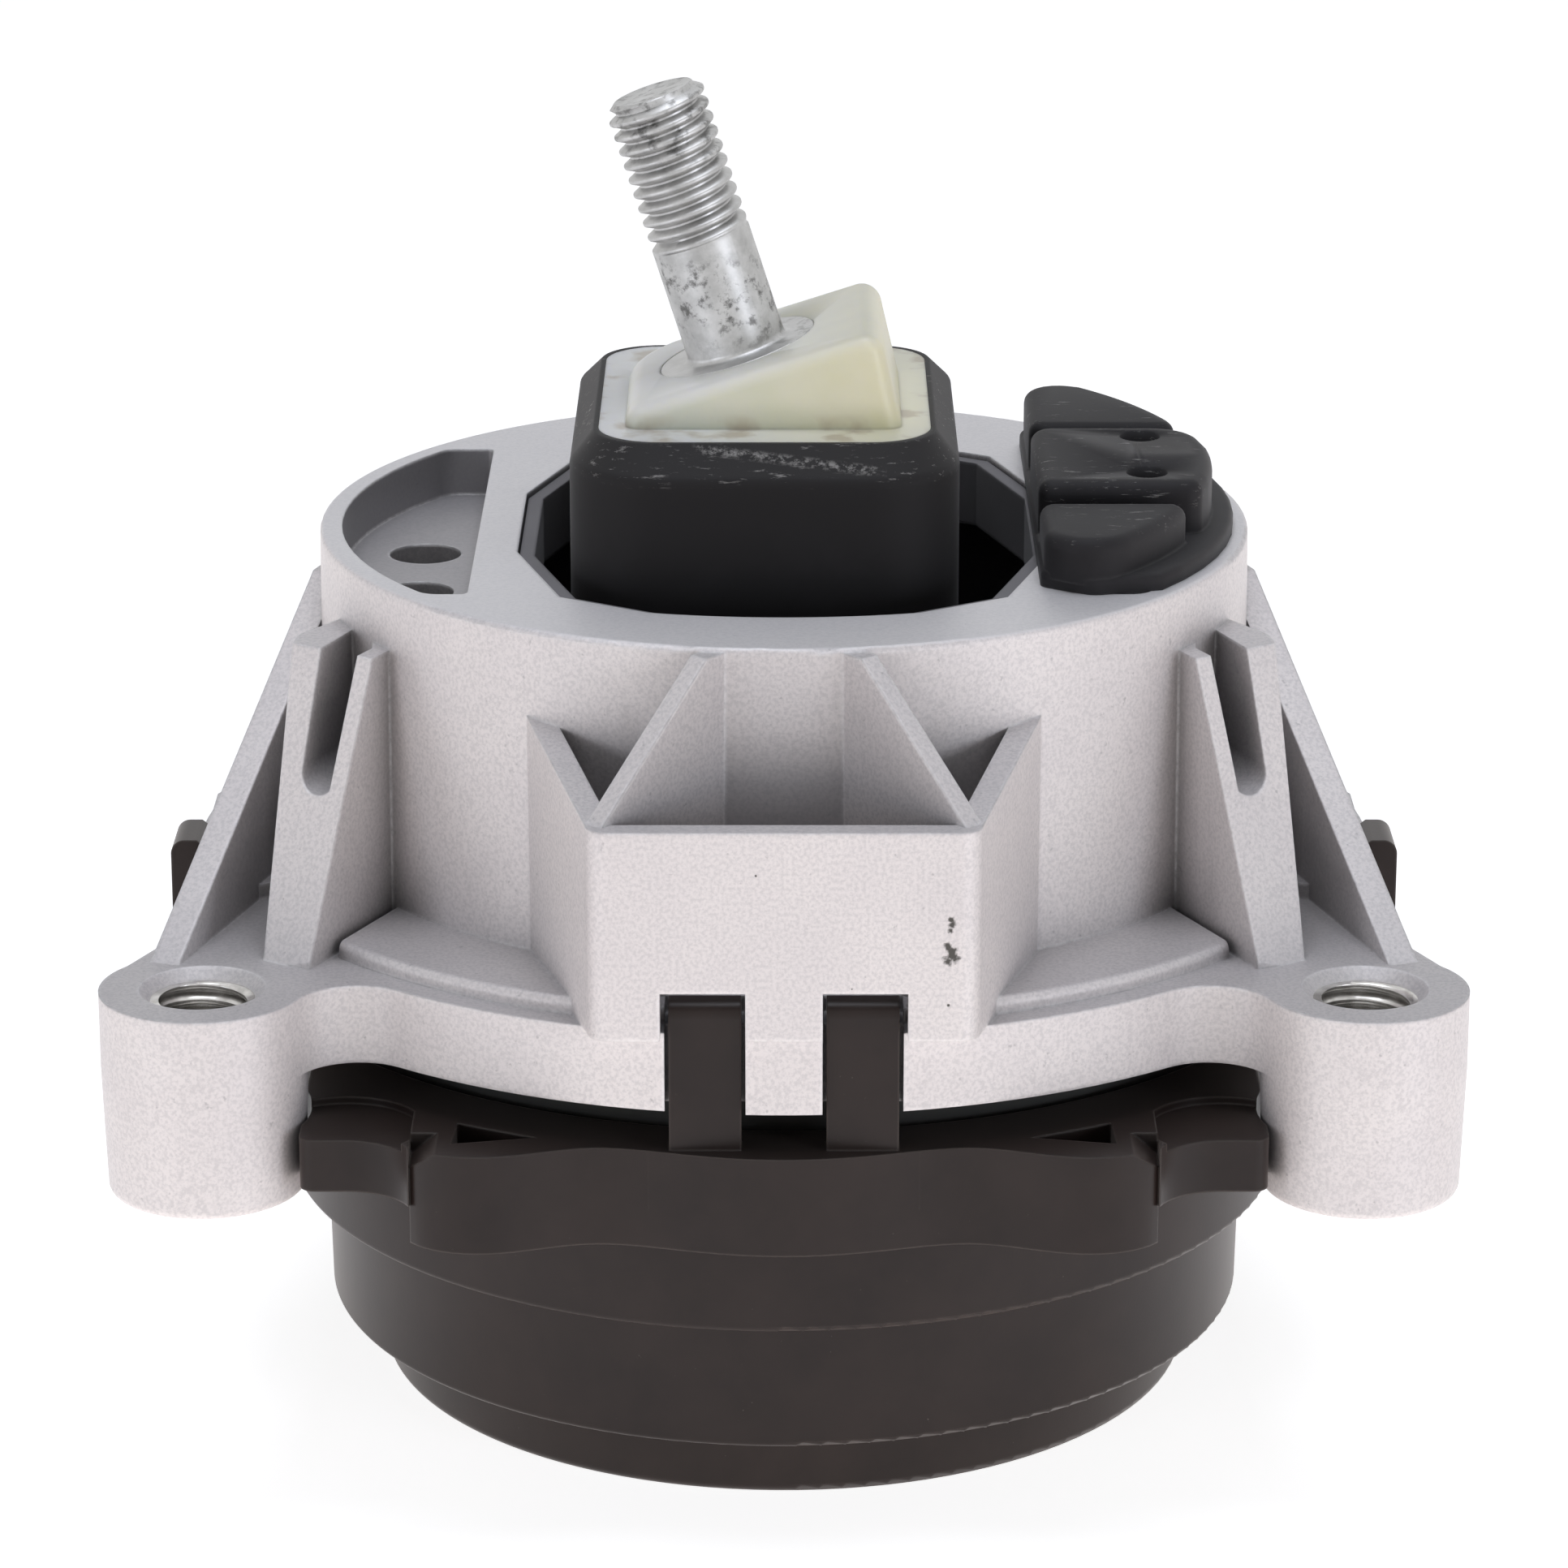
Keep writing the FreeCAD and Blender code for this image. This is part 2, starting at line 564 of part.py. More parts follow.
def clip_seat(seat):
    """Notch in the flange's rim for one leg, and the flat that its hook lies on."""
    wide = (LEG_X[0] - 2 * CLIP_GAP, LEG_X[1] + 2 * CLIP_GAP)
    outer_end = seat + LEG_T + 3 * LEG_IN
    notch = box(wide, (-outer_end, -seat), (FLANGE_BOTTOM - 1, FLANGE_TOP + STEP_H + 1))
    flat = box(wide, (-outer_end, -seat + HOOK_REACH + 3 * CLIP_GAP), (FLANGE_TOP, FLANGE_TOP + STEP_H + 1))
    return notch.fuse(flat)


def clip_seats():
    front, side = clip_seat(LEG_SEAT), clip_seat(SIDE_SEAT)
    seats = both_sides(front) + both_sides(spun(side, 270))
    return seats + both_sides(spun(front, REAR_CLIP_ANGLE))


def housing():
    body = fused([flange(), tower(), step_ring(), bracket_box()] + [lug_leg(*p) for p in lug_places()]
                 + both_sides(slot_rib()) + both_sides(outer_rib()) + both_sides(rear_rib()))
    cuts = [cavity(), raised(window_face(), TOWER_TOP - ROOF_T - 2, TOWER_TOP + 1)]
    cuts += both_sides(pocket(0.0, TOWER_TOP - POCKET_DEPTH, TOWER_TOP + 1))
    cuts += [cylinder(PEG_HOLE_R, TOWER_TOP - 2 * ROOF_T, TOWER_TOP, s * PEG_X, y) for s in (-1, 1)
             for y in PEG_Y]
    cuts += [lug_hole(*place) for place in lug_places()]
    cuts += clip_seats()
    for piece in cuts:
        body = body.cut(piece)
    return body.removeSplitter()


def spring_ring():
    """Moulded ring under the flange, with a conical spigot that reaches up into the tower."""
    spigot_r = CAVITY_R - RUN_GAP
    top = FLANGE_BOTTOM + SPIGOT_H
    return turned([(RING_BORE_R, CUP_TOP_Z), (RING_R, CUP_TOP_Z), (RING_R, FLANGE_BOTTOM),
                   (spigot_r, FLANGE_BOTTOM), (spigot_r, top), (spigot_r - SPIGOT_WALL, top)])


def stud_axis():
    tilt = math.radians(STUD_TILT)
    return V(-math.sin(tilt), 0, math.cos(tilt))


def stud():
    """Threaded stud with a collar flush in the sloped face and a root inside the core."""
    foot, axis = V(*STUD_FOOT), stud_axis()
    shank = Part.makeCylinder(STUD_R, STUD_LENGTH, foot, axis)
    tip = [e for e in shank.Edges if e.CenterOfMass.sub(foot).dot(axis) > STUD_LENGTH - 0.1
           and e.Length > STUD_R * 6]
    shank = shank.makeChamfer(STUD_TIP_CHAMFER, tip)
    collar = Part.makeCylinder(STUD_COLLAR_R, STUD_COLLAR_T, foot, axis * -1)
    root = Part.makeCylinder(STUD_ROOT_R, STUD_ROOT_L, foot, axis * -1)
    return fused([shank, collar, root])


def core():
    """Nylon block with a wedge on it, whose top face stands square to the stud."""
    block = rounded_box(CORE_HALF, CORE_ROUND, (CORE_X, CORE_Y), CORE_BOTTOM, LEDGE_Z)
    x0, x1 = WEDGE_X
    height = STUD_FOOT[2] + (x1 - x0) - LEDGE_Z
    lean = height * math.tan(math.radians(WEDGE_LEAN))
    side = [V(x0, WEDGE_Y[0], LEDGE_Z), V(x1, WEDGE_Y[0], LEDGE_Z),
            V(x1 - lean, WEDGE_Y[0], LEDGE_Z + height), V(x0, WEDGE_Y[0], LEDGE_Z + height)]
    wedge = Part.Face(Part.makePolygon(side + side[:1])).extrude(V(0, WEDGE_Y[1] - WEDGE_Y[0], 0))
    foot, axis = V(*STUD_FOOT), stud_axis()
    above = Part.makeCylinder(FAR, FAR, foot, axis)
    wedge = wedge.cut(above)
    wedge = wedge.makeFillet(WEDGE_ROUND, upright_edges(wedge, [(x0, WEDGE_Y[1])]))
    ridge = [e for e in wedge.Edges if e.BoundBox.XMin > 0 and e.BoundBox.ZMax - e.BoundBox.ZMin < 0.01
             and e.BoundBox.ZMin > STUD_FOOT[2]]
    wedge = wedge.makeFillet(WEDGE_EDGE, ridge)
    return fused([block, wedge]).cut(stud())


def jacket_outline(grow_x, grow_y, radius, height):
    half = (CORE_HALF[0] + grow_x, CORE_HALF[1] + grow_y)
    block = rounded_box(half, radius, (CORE_X, CORE_Y), height, height + 1)
    for face in block.Faces:
        if abs(face.CenterOfMass.z - height) < 1e-6:
            return face.OuterWire
    return None


def main_spring():
    """Rubber cone with the jacket round the core and the fluid chamber below."""
    spigot_r = CAVITY_R - RUN_GAP - SPIGOT_WALL
    spigot_top = FLANGE_BOTTOM + SPIGOT_H
    bottom = CORE_BOTTOM - CONE_SKIN
    cone = turned([(0, bottom), (CHAMBER_ROOF_R, bottom), (CHAMBER_R, CUP_TOP_Z + CHAMBER_RIM_H),
                   (RING_BORE_R - 1.5, CUP_TOP_Z),
                   (RING_BORE_R, CUP_TOP_Z), (spigot_r, spigot_top), (spigot_r - 2.0, spigot_top + 0.6),
                   (CONE_TOP_R, CONE_TOP_Z), (0, CONE_TOP_Z)])
    half = (CORE_HALF[0] + JACKET_SIDE, CORE_HALF[1] + JACKET_FRONT)
    jacket = rounded_box(half, JACKET_ROUND, (CORE_X, CORE_Y), CONE_TOP_Z - CONE_RISE / 2, JACKET_EDGE_Z)
    outer = jacket_outline(JACKET_SIDE, JACKET_FRONT, JACKET_ROUND, JACKET_EDGE_Z)
    inner = jacket_outline(JACKET_LIP, JACKET_LIP, CORE_ROUND, LEDGE_Z)
    rim = Part.makeLoft([outer, inner], True, True)
    block = rounded_box(CORE_HALF, CORE_ROUND, (CORE_X, CORE_Y), CORE_BOTTOM, LEDGE_Z + 1)
    spring = fused([cone, jacket, rim])
    return spring.makeFillet(JACKET_ROLL, edges_at(spring, JACKET_EDGE_Z)).cut(block)


def stop_liner():
    """Rubber bell that lines the tower and its window."""
    top = TOWER_TOP - ROOF_T - SOFT_GAP
    outer = CAVITY_R - SOFT_GAP
    room = cylinder(outer - LINER_T, LINER_BOTTOM - 1, top - LINER_T)
    bell = cylinder(outer, LINER_BOTTOM, top).cut(room)
    shoulder = box((ROOF_HALF_X - SOFT_GAP, FAR), (-FAR, FAR), (LINER_SHOULDER_Z, FAR))
    bell = bell.cut(shoulder.fuse(mirrored(shoulder)))
    face = window_face()
    sleeve = raised(inset(face, SOFT_GAP), top - LINER_T, TOWER_TOP - LINER_REVEAL)
    opening = raised(inset(face, SOFT_GAP + LINER_T), top - 2 * LINER_T, TOWER_TOP + 1)
    return bell.fuse(sleeve).cut(opening).removeSplitter()


def stop_block(front, back, top):
    block = box((STOP_X, FAR), (front, back), (TOWER_TOP, top))
    block = block.common(cylinder(STOP_R, 0, FAR))
    block = block.makeFillet(STOP_BLOCK_ROUND, upright_edges(block))
    return block.makeFillet(STOP_EDGE, edges_at(block, top))


def side_buffer():
    """Rubber stop: a lip on the plate, three blocks above it, a plug and two pegs below."""
    lip = box((STOP_X - STOP_LIP_W, FAR), (STOP_Y[0] - STOP_LIP_W, STOP_Y[1] + STOP_LIP_W),
              (TOWER_TOP, TOWER_TOP + STOP_LIP_T))
    lip = lip.common(cylinder(STOP_LIP_R, 0, FAR))
    lip = lip.makeFillet(STOP_ROUND, upright_edges(lip))
    half = STOP_GROOVE_W / 2
    cuts = (STOP_Y[0], STOP_GROOVE_Y[0], STOP_GROOVE_Y[1], STOP_Y[1])
    spans = [(cuts[0], cuts[1] - half), (cuts[1] + half, cuts[2] - half), (cuts[2] + half, cuts[3])]
    parts = [stop_block(*span, TOWER_TOP + rise) for span, rise in zip(spans, STOP_HEIGHTS)]
    floor = TOWER_TOP - POCKET_DEPTH
    parts.append(mirrored(pocket(SOFT_GAP, floor, TOWER_TOP + 0.5)))
    under = floor - POCKET_FLOOR_T
    for y in PEG_Y:
        parts.append(cylinder(PEG_HOLE_R - SOFT_GAP, under - 0.5, floor + 1, PEG_X, y))
        parts.append(Part.makeCone(PEG_NECK_R, PEG_HEAD_R, PEG_HEAD_T, V(PEG_X, y, under - PEG_HEAD_T)))
    body = fused([lip] + parts)
    for y in PEG_Y:
        body = body.cut(cylinder(DIMPLE_R, TOWER_TOP + STOP_HEIGHTS[1] - DIMPLE_D, FAR, PEG_X, y))
    return body


def grid_holes(bottom, top):
    holes = []
    for row in range(GRID_RING_COUNT + 1):
        count = max(1, 6 * row)
        hole = cylinder(GRID_HOLE_R, bottom, top, row * GRID_PITCH)
        holes += [spun(hole, 360 * index / count) for index in range(count)]
    return holes


def channel_port(angle, bottom, top):
    """Round port at one end of the damping channel."""
    return spun(cylinder(CHANNEL_W / 2 - SOFT_GAP, bottom, top, CHANNEL_R), angle)


def upper_channel_plate():
    top = CUP_TOP_Z
    bottom = top - UPPER_PLATE_T
    disc = cylinder(PLATE_R, bottom, top)
    dish = cylinder(CHAMBER_R, top - PLATE_RIM, top)
    return disc.cut(grid_holes(bottom, top) + [dish, channel_port(0, bottom, top)])


def lower_channel_plate():
    top = CUP_TOP_Z - UPPER_PLATE_T
    bottom = top - LOWER_PLATE_T
    disc = cylinder(PLATE_R, bottom, top)
    seat = cylinder(MEMBRANE_R + RUN_GAP, top - MEMBRANE_T - RUN_GAP, top)
    near, far, low = CHANNEL_R - CHANNEL_W / 2, CHANNEL_R + CHANNEL_W / 2, top - CHANNEL_D
    section = [V(near, 0, top), V(far, 0, top), V(far, 0, low), V(near, 0, low)]
    channel = Part.Face(Part.makePolygon(section + section[:1])).revolve(V(0, 0, 0), UP, CHANNEL_TURN)
    ends = [channel_port(0, top - CHANNEL_D, top), channel_port(CHANNEL_TURN, bottom, top)]
    return disc.cut(grid_holes(bottom, top) + [seat, channel] + ends)


def decoupler_membrane():
    top = CUP_TOP_Z - UPPER_PLATE_T
    disc = cylinder(MEMBRANE_R, top - MEMBRANE_T - RUN_GAP, top)
    return disc.makeFillet(MEMBRANE_T / 3, disc.Edges[0:1] + disc.Edges[2:3])


def diaphragm():
    """Rolling rubber diaphragm: a bead, one deep roll and a raised middle."""
    bead_top = CUP_TOP_Z - UPPER_PLATE_T - LOWER_PLATE_T
    bead_bottom = bead_top - BEAD_T
    bead_r = PLATE_R
    neck_r = bead_r - BEAD_W
    low = bead_top - DIAPHRAGM_DROP
    crown = low + DIAPHRAGM_RISE
    t = DIAPHRAGM_T
    roll_r = (neck_r + DIAPHRAGM_CROWN_R) / 2
    upper = [(0, crown + t), (DIAPHRAGM_CROWN_R, crown + t), (roll_r - 2, low + t), (roll_r + 2, low + t),
             (neck_r, bead_top), (bead_r, bead_top)]
    lower = [(bead_r, bead_bottom), (neck_r + t, bead_bottom), (roll_r + 3, low), (roll_r - 3, low),
             (DIAPHRAGM_CROWN_R - t, crown), (0, crown)]
    return turned(upper + lower)


def diaphragm_ring():
    top = CUP_TOP_Z - UPPER_PLATE_T - LOWER_PLATE_T - BEAD_T
    ring = cylinder(PLATE_R, CUP_MID_TOP + CUP_WALL, top)
    return ring.cut(cylinder(PLATE_R - BEAD_W + DIAPHRAGM_T + SOFT_GAP, 0, FAR))


def cup():
    """Stepped cup with a rim that the collar pulls up against the ring."""
    w = CUP_WALL
    rim_bottom = CUP_TOP_Z - CUP_RIM_T
    outer = turned([(0, 0), (CUP_FOOT_R - 0.5, 0), (CUP_FOOT_R, CUP_FOOT_H), (CUP_MID_R - 0.3, CUP_FOOT_H),
                    (CUP_MID_R, CUP_MID_TOP), (CUP_TOP_R, CUP_MID_TOP), (CUP_TOP_R, rim_bottom),
                    (CUP_RIM_R, rim_bottom), (CUP_RIM_R, CUP_TOP_Z), (0, CUP_TOP_Z)])
    outer = outer.makeFillet(CUP_FOOT_ROUND, edges_at(outer, 0.0))
    steps = edges_at(outer, CUP_FOOT_H) + edges_at(outer, CUP_MID_TOP)
    outer = outer.makeFillet(CUP_STEP_EDGE, [e for e in steps if e.BoundBox.XMax > CUP_FOOT_R + 1])
    inner = turned([(0, w), (CUP_FOOT_R - w, w), (CUP_FOOT_R - w, CUP_FOOT_H + w),
                    (CUP_MID_R - w, CUP_FOOT_H + w), (CUP_MID_R - w, CUP_MID_TOP + w),
                    (CUP_TOP_R - w, CUP_MID_TOP + w),
                    (CUP_TOP_R - w, CUP_TOP_Z + 1), (0, CUP_TOP_Z + 1)])
    return outer.cut(inner).cut(cylinder(VENT_R, -1, w + 1, VENT_X))


def clip_leg(seat):
    """Clip leg that faces -Y, with a hook that lies on the flange."""
    inner = -seat - CLIP_GAP
    outer = inner - LEG_T
    hook = FLANGE_TOP + 0.1
    profile = [V(0, outer, COLLAR_TOP - 4), V(0, inner, COLLAR_TOP - 4), V(0, inner, hook),
               V(0, inner + HOOK_REACH, hook), V(0, inner + HOOK_REACH, hook + 0.8),
               V(0, inner + 0.2, HOOK_TOP), V(0, outer, HOOK_TOP)]
    face = Part.Face(Part.makePolygon(profile + profile[:1]))
    face.translate(V(LEG_X[0], 0, 0))
    leg = face.extrude(V(LEG_X[1] - LEG_X[0], 0, 0))
    leg = leg.makeFillet(HOOK_ROUND, [e for e in leg.Edges if e.CenterOfMass.sub(
        V((LEG_X[0] + LEG_X[1]) / 2, outer, HOOK_TOP)).Length < 0.1])
    outer_end = seat + CLIP_GAP + LEG_T
    stand = box((LEG_X[0] - STAND_SIDE, LEG_X[1] + STAND_SIDE), (-outer_end, -RING_R + 2),
                (EAR_BOTTOM, COLLAR_TOP))
    return leg.fuse(stand)


def skirt_plan():
    """Front skirt in plan: its face waves gently and is rounded off at both ends."""
    points = [V(-share * SKIRT_X, SKIRT_Y + back, 0) for share, back in SKIRT_WAVE]
    points += [V(-p.x, p.y, 0) for p in reversed(points[:-1])]
    face = Part.BSplineCurve()
    face.interpolate(points)
    sides = Part.makePolygon([points[-1], V(SKIRT_X, 0, 0), V(-SKIRT_X, 0, 0), points[0]])
    return Part.Face(Part.Wire([face.toShape()] + sides.Edges))


def ear():
    """Ear beside the left lug: a hollow arc leads from its front to the end of the skirt."""
    start, end = V(EAR_FLAT - EAR_X, EAR_Y, 0), V(-SKIRT_X, SKIRT_Y + SKIRT_SIDE, 0)
    middle = V(end.x * 0.67 + start.x * 0.33, start.y * 0.67 + end.y * 0.33, 0)
    arc = Part.Arc(start, middle, end).toShape()
    rest = Part.makePolygon([end, V(end.x, 0, 0), V(-EAR_X, 0, 0), V(-EAR_X, EAR_Y, 0), start])
    body = raised(Part.Face(Part.Wire([arc] + rest.Edges)), EAR_BOTTOM, COLLAR_TOP)
    body = body.makeFillet(EAR_EDGE, upright_edges(body, [(-EAR_X, EAR_Y)]))
    dish = cylinder(EAR_DISH_R, COLLAR_TOP - EAR_DISH_D, FAR, start.x, EAR_Y + EAR_FLAT / 2)
    return body.cut(dish)


def collar_body():
    """Ring, ears and front skirt, before the bores."""
    rear = box((-FAR, FAR), (EAR_Y + RING_START, FAR), (0, FAR))
    ring = cylinder(COLLAR_R, EAR_BOTTOM, COLLAR_TOP).common(rear)
    low = cylinder(CUP_TOP_R + COLLAR_WALL, COLLAR_BOTTOM, COLLAR_TOP)
    return fused([ring, raised(skirt_plan(), SKIRT_BOTTOM, COLLAR_TOP), low] + both_sides(ear()))


def skirt_corner():
    """Bevel on a top corner of the skirt."""
    corner, drop = V(-SKIRT_X, SKIRT_Y, COLLAR_TOP), SKIRT_BEVEL * 0.8
    outline = [corner, corner + V(SKIRT_BEVEL, 0, 0), corner - UP * drop, corner]
    return Part.Face(Part.makePolygon(outline)).extrude(V(0, EAR_Y - SKIRT_Y, 0))


def clip_collar():
    """Plastic ring that pulls the cup up to the housing with clip legs."""
    front, side = clip_leg(LEG_SEAT), clip_leg(SIDE_SEAT)
    legs = both_sides(front) + both_sides(spun(side, 270)) + both_sides(spun(front, REAR_CLIP_ANGLE))
    body = fused([collar_body()] + legs)
    bore = cylinder(CUP_TOP_R + RUN_GAP, 0, FAR)
    seat = cylinder(CUP_RIM_R + RUN_GAP, CUP_TOP_Z - CUP_RIM_T, FAR)
    outline = [(x - SKIRT_X, y + SKIRT_Y) for x, y in COLLAR_POCKET]
    hollow = prism(outline, COLLAR_TOP - COLLAR_POCKET_D, COLLAR_TOP + 1)
    lug_room = cylinder(LUG_R + CLIP_GAP, 0, FAR, *lug_places()[0])
    for piece in [bore, seat] + both_sides(hollow) + both_sides(skirt_corner()) + both_sides(lug_room):
        body = body.cut(piece)
    return body.removeSplitter()


PIECES = (housing, stud, core, main_spring, stop_liner, side_buffer, spring_ring, upper_channel_plate,
          lower_channel_plate, decoupler_membrane, diaphragm, diaphragm_ring, clip_collar, cup)

os.makedirs("parts", exist_ok=True)
for make in PIECES:
    shape = make()
    shape.exportStep("parts/" + make.__name__ + ".step")
    print(make.__name__, len(shape.Solids), round(shape.Volume), shape.isValid())
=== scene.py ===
# %% [markdown]
# # Dressing a hydraulic engine mount
# The solids of the mount come from CAD: a die-cast aluminium housing, a rubber spring with a nylon
# core and a slanted steel stud, and a plastic cup held on by a ring with clips. This script gives
# each one the surface of the real piece and adds what is too fine for the CAD: screw threads,
# soft edges, small pores of the casting and marks of use.

# %% Load the solids
import json
import math
import bmesh
import bpy
from mathutils import Matrix, Vector


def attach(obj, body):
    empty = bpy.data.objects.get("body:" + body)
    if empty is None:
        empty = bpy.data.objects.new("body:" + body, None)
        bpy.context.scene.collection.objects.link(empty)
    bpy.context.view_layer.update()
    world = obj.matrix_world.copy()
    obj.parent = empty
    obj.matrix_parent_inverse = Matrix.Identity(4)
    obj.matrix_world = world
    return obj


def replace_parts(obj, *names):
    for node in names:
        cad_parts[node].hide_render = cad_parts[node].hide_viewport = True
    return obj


MM = 0.001
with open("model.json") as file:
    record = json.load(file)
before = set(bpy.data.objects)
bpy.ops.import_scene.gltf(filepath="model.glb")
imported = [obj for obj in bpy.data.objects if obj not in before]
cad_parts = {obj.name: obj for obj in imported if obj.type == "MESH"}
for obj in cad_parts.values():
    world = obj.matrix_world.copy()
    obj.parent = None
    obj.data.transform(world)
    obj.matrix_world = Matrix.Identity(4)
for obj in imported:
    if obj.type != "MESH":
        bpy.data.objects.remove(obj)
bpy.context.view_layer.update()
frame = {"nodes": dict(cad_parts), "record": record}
nodes = frame["nodes"]

# %% [markdown]
# ## Colours and nodes
# Colours are written as the sRGB hex values that a paint chart gives. Shaders work in linear
# light, so one function converts them. A second one adds a shader node, fills its sockets and
# links whatever is another node's output.

# %% Helpers for materials
def linear(code):
    """Linear RGBA of an sRGB hex colour."""
    parts = [int(code[i:i + 2], 16) / 255 for i in (0, 2, 4)]
    return [c / 12.92 if c <= 0.04045 else ((c + 0.055) / 1.055) ** 2.4 for c in parts] + [1.0]


def add(tree, kind, sockets, **settings):
    """New node in a tree: settings are its properties, sockets are values or outputs to link."""
    node = tree.nodes.new(kind)
    for name, value in settings.items():
        setattr(node, name, value)
    for key, value in sockets.items():
        if isinstance(value, bpy.types.NodeSocket):
            tree.links.new(value, node.inputs[key])
        else:
            node.inputs[key].default_value = value
    return node


def blank(name):
    """Empty node material with its tree, its output and the object's own coordinates."""
    material = bpy.data.materials.new(name)
    material.use_nodes = True
    tree = material.node_tree
    tree.nodes.clear()
    output = tree.nodes.new("ShaderNodeOutputMaterial")
    place = tree.nodes.new("ShaderNodeTexCoord").outputs["Object"]
    return material, tree, output, place


def blend(tree, mask, first, second):
    """Colour mixed from first to second by a mask from 0 to 1."""
    node = add(tree, "ShaderNodeMix", {0: mask, 6: first, 7: second}, data_type="RGBA")
    return node.outputs[2]


def ramp(tree, value, low, high, to_low=0.0, to_high=1.0):
    """Value stretched from one range to another, clamped at both ends."""
    node = add(tree, "ShaderNodeMapRange", {0: value, 1: low, 2: high, 3: to_low, 4: to_high})
    return node.outputs[0]


def noise(tree, place, size, detail=2.0, roughness=0.5):
    """Noise whose blotches are about the given size in metres."""
    node = add(tree, "ShaderNodeTexNoise", {"Vector": place, "Scale": 1 / size, "Detail": detail,
                                            "Roughness": roughness})
    return node.outputs[0]


def calc(tree, operation, first, second=0.0):
    return add(tree, "ShaderNodeMath", {0: first, 1: second}, operation=operation).outputs[0]


def every(tree, first, *others):
    """Product of several masks."""
    for other in others:
        first = calc(tree, "MULTIPLY", first, other)
    return first


def spot(tree, place, centre, radius, ragged):
    """Mask of one blotch round a point, its outline broken up by a noise value."""
    far = add(tree, "ShaderNodeVectorMath", {0: place, 1: centre},
              operation="DISTANCE").outputs["Value"]
    edge = calc(tree, "MULTIPLY", ragged, 2.4 * radius)
    return ramp(tree, calc(tree, "ADD", far, edge), 1.7 * radius, 2.3 * radius, 1.0, 0.0)


def edge_mask(tree, radius, low=0.02, high=0.25):
    """Soft mask that is 1 on outside and inside edges of a piece, and the softened normal."""
    soft = add(tree, "ShaderNodeBevel", {"Radius": radius}, samples=4).outputs[0]
    true = tree.nodes.new("ShaderNodeNewGeometry").outputs["Normal"]
    same = add(tree, "ShaderNodeVectorMath", {0: soft, 1: true},
               operation="DOT_PRODUCT").outputs["Value"]
    return ramp(tree, same, 1 - low, 1 - high), soft


print("colour check, mid grey:", [round(c, 3) for c in linear("808080")])

# %% [markdown]
# ## Cast aluminium
# The housing is a pressure die casting in an aluminium-silicon alloy, shot-blasted after casting.
# Blasting leaves tiny dents of about 0.35 mm, so the surface has a fine orange-peel grain that
# scatters light. Where an ambient occlusion node finds little open sky, in slots and hollows, the
# colour is darkened as painted shade. Edges are lightened, partly as wear from handling and partly
# as a painted highlight. Masks made from height and facing give painted shade to the pocket's floor
# and back wall, the flange's top and the bracket's bays, and the top plate and all above it are
# painted lighter as painted light. A few pores from the casting show on the bracket's plate. A
# pattern drawn on Object coordinates stays at its real size wherever it is on the piece.

# %% Material: cast aluminium
GRAIN = 0.36 * MM
SPECK = 0.9 * MM
HOLLOW = 8 * MM
EDGE_RADIUS = 0.55 * MM
PLATE_Y = -61.2
# Pores on the plate: x, z and radius in mm
PORES = ((15.4, 67.0, 0.34), (15.5, 66.5, 0.42), (15.4, 66.0, 0.3), (15.2, 64.4, 0.4),
         (15.5, 63.9, 0.55), (15.6, 63.3, 0.6), (15.2, 63.0, 0.5), (15.3, 58.6, 0.15),
         (-2.6, 71.3, 0.1), (6.3, 60.2, 0.1))


def painted_shade_zones(tree, place):
    """Mask of the faces given painted shade: pocket floor and back wall, flange top, bracket bays."""
    across, depth, height = add(tree, "ShaderNodeSeparateXYZ", {0: place}).outputs
    normal = tree.nodes.new("ShaderNodeNewGeometry").outputs["Normal"]
    _, facing_back, facing_up = add(tree, "ShaderNodeSeparateXYZ", {0: normal}).outputs
    inward = add(tree, "ShaderNodeVectorMath", {0: normal, 1: place},
                 operation="DOT_PRODUCT").outputs["Value"]
    up = ramp(tree, facing_up, 0.8, 0.95)
    floor = every(tree, up, ramp(tree, height, 83 * MM, 83.4 * MM),
                  ramp(tree, height, 85.4 * MM, 85 * MM), 0.6)
    flange = every(tree, up, ramp(tree, height, 60 * MM, 58 * MM), 0.2)
    away = every(tree, ramp(tree, facing_up, 0.5, 0.3), ramp(tree, inward, -10 * MM, -20 * MM))
    wall = every(tree, away, ramp(tree, height, 83 * MM, 84 * MM),
                 ramp(tree, across, -20 * MM, -22 * MM), 0.8)
    bay = every(tree, ramp(tree, facing_back, -0.7, -0.9), ramp(tree, depth, -52 * MM, -50 * MM),
                ramp(tree, calc(tree, "ABSOLUTE", across), 18.5 * MM, 17 * MM),
                ramp(tree, height, 81 * MM, 70 * MM), 0.65)
    shade = floor
    for mask in (flange, wall, bay):
        shade = calc(tree, "MAXIMUM", shade, mask)
    return shade


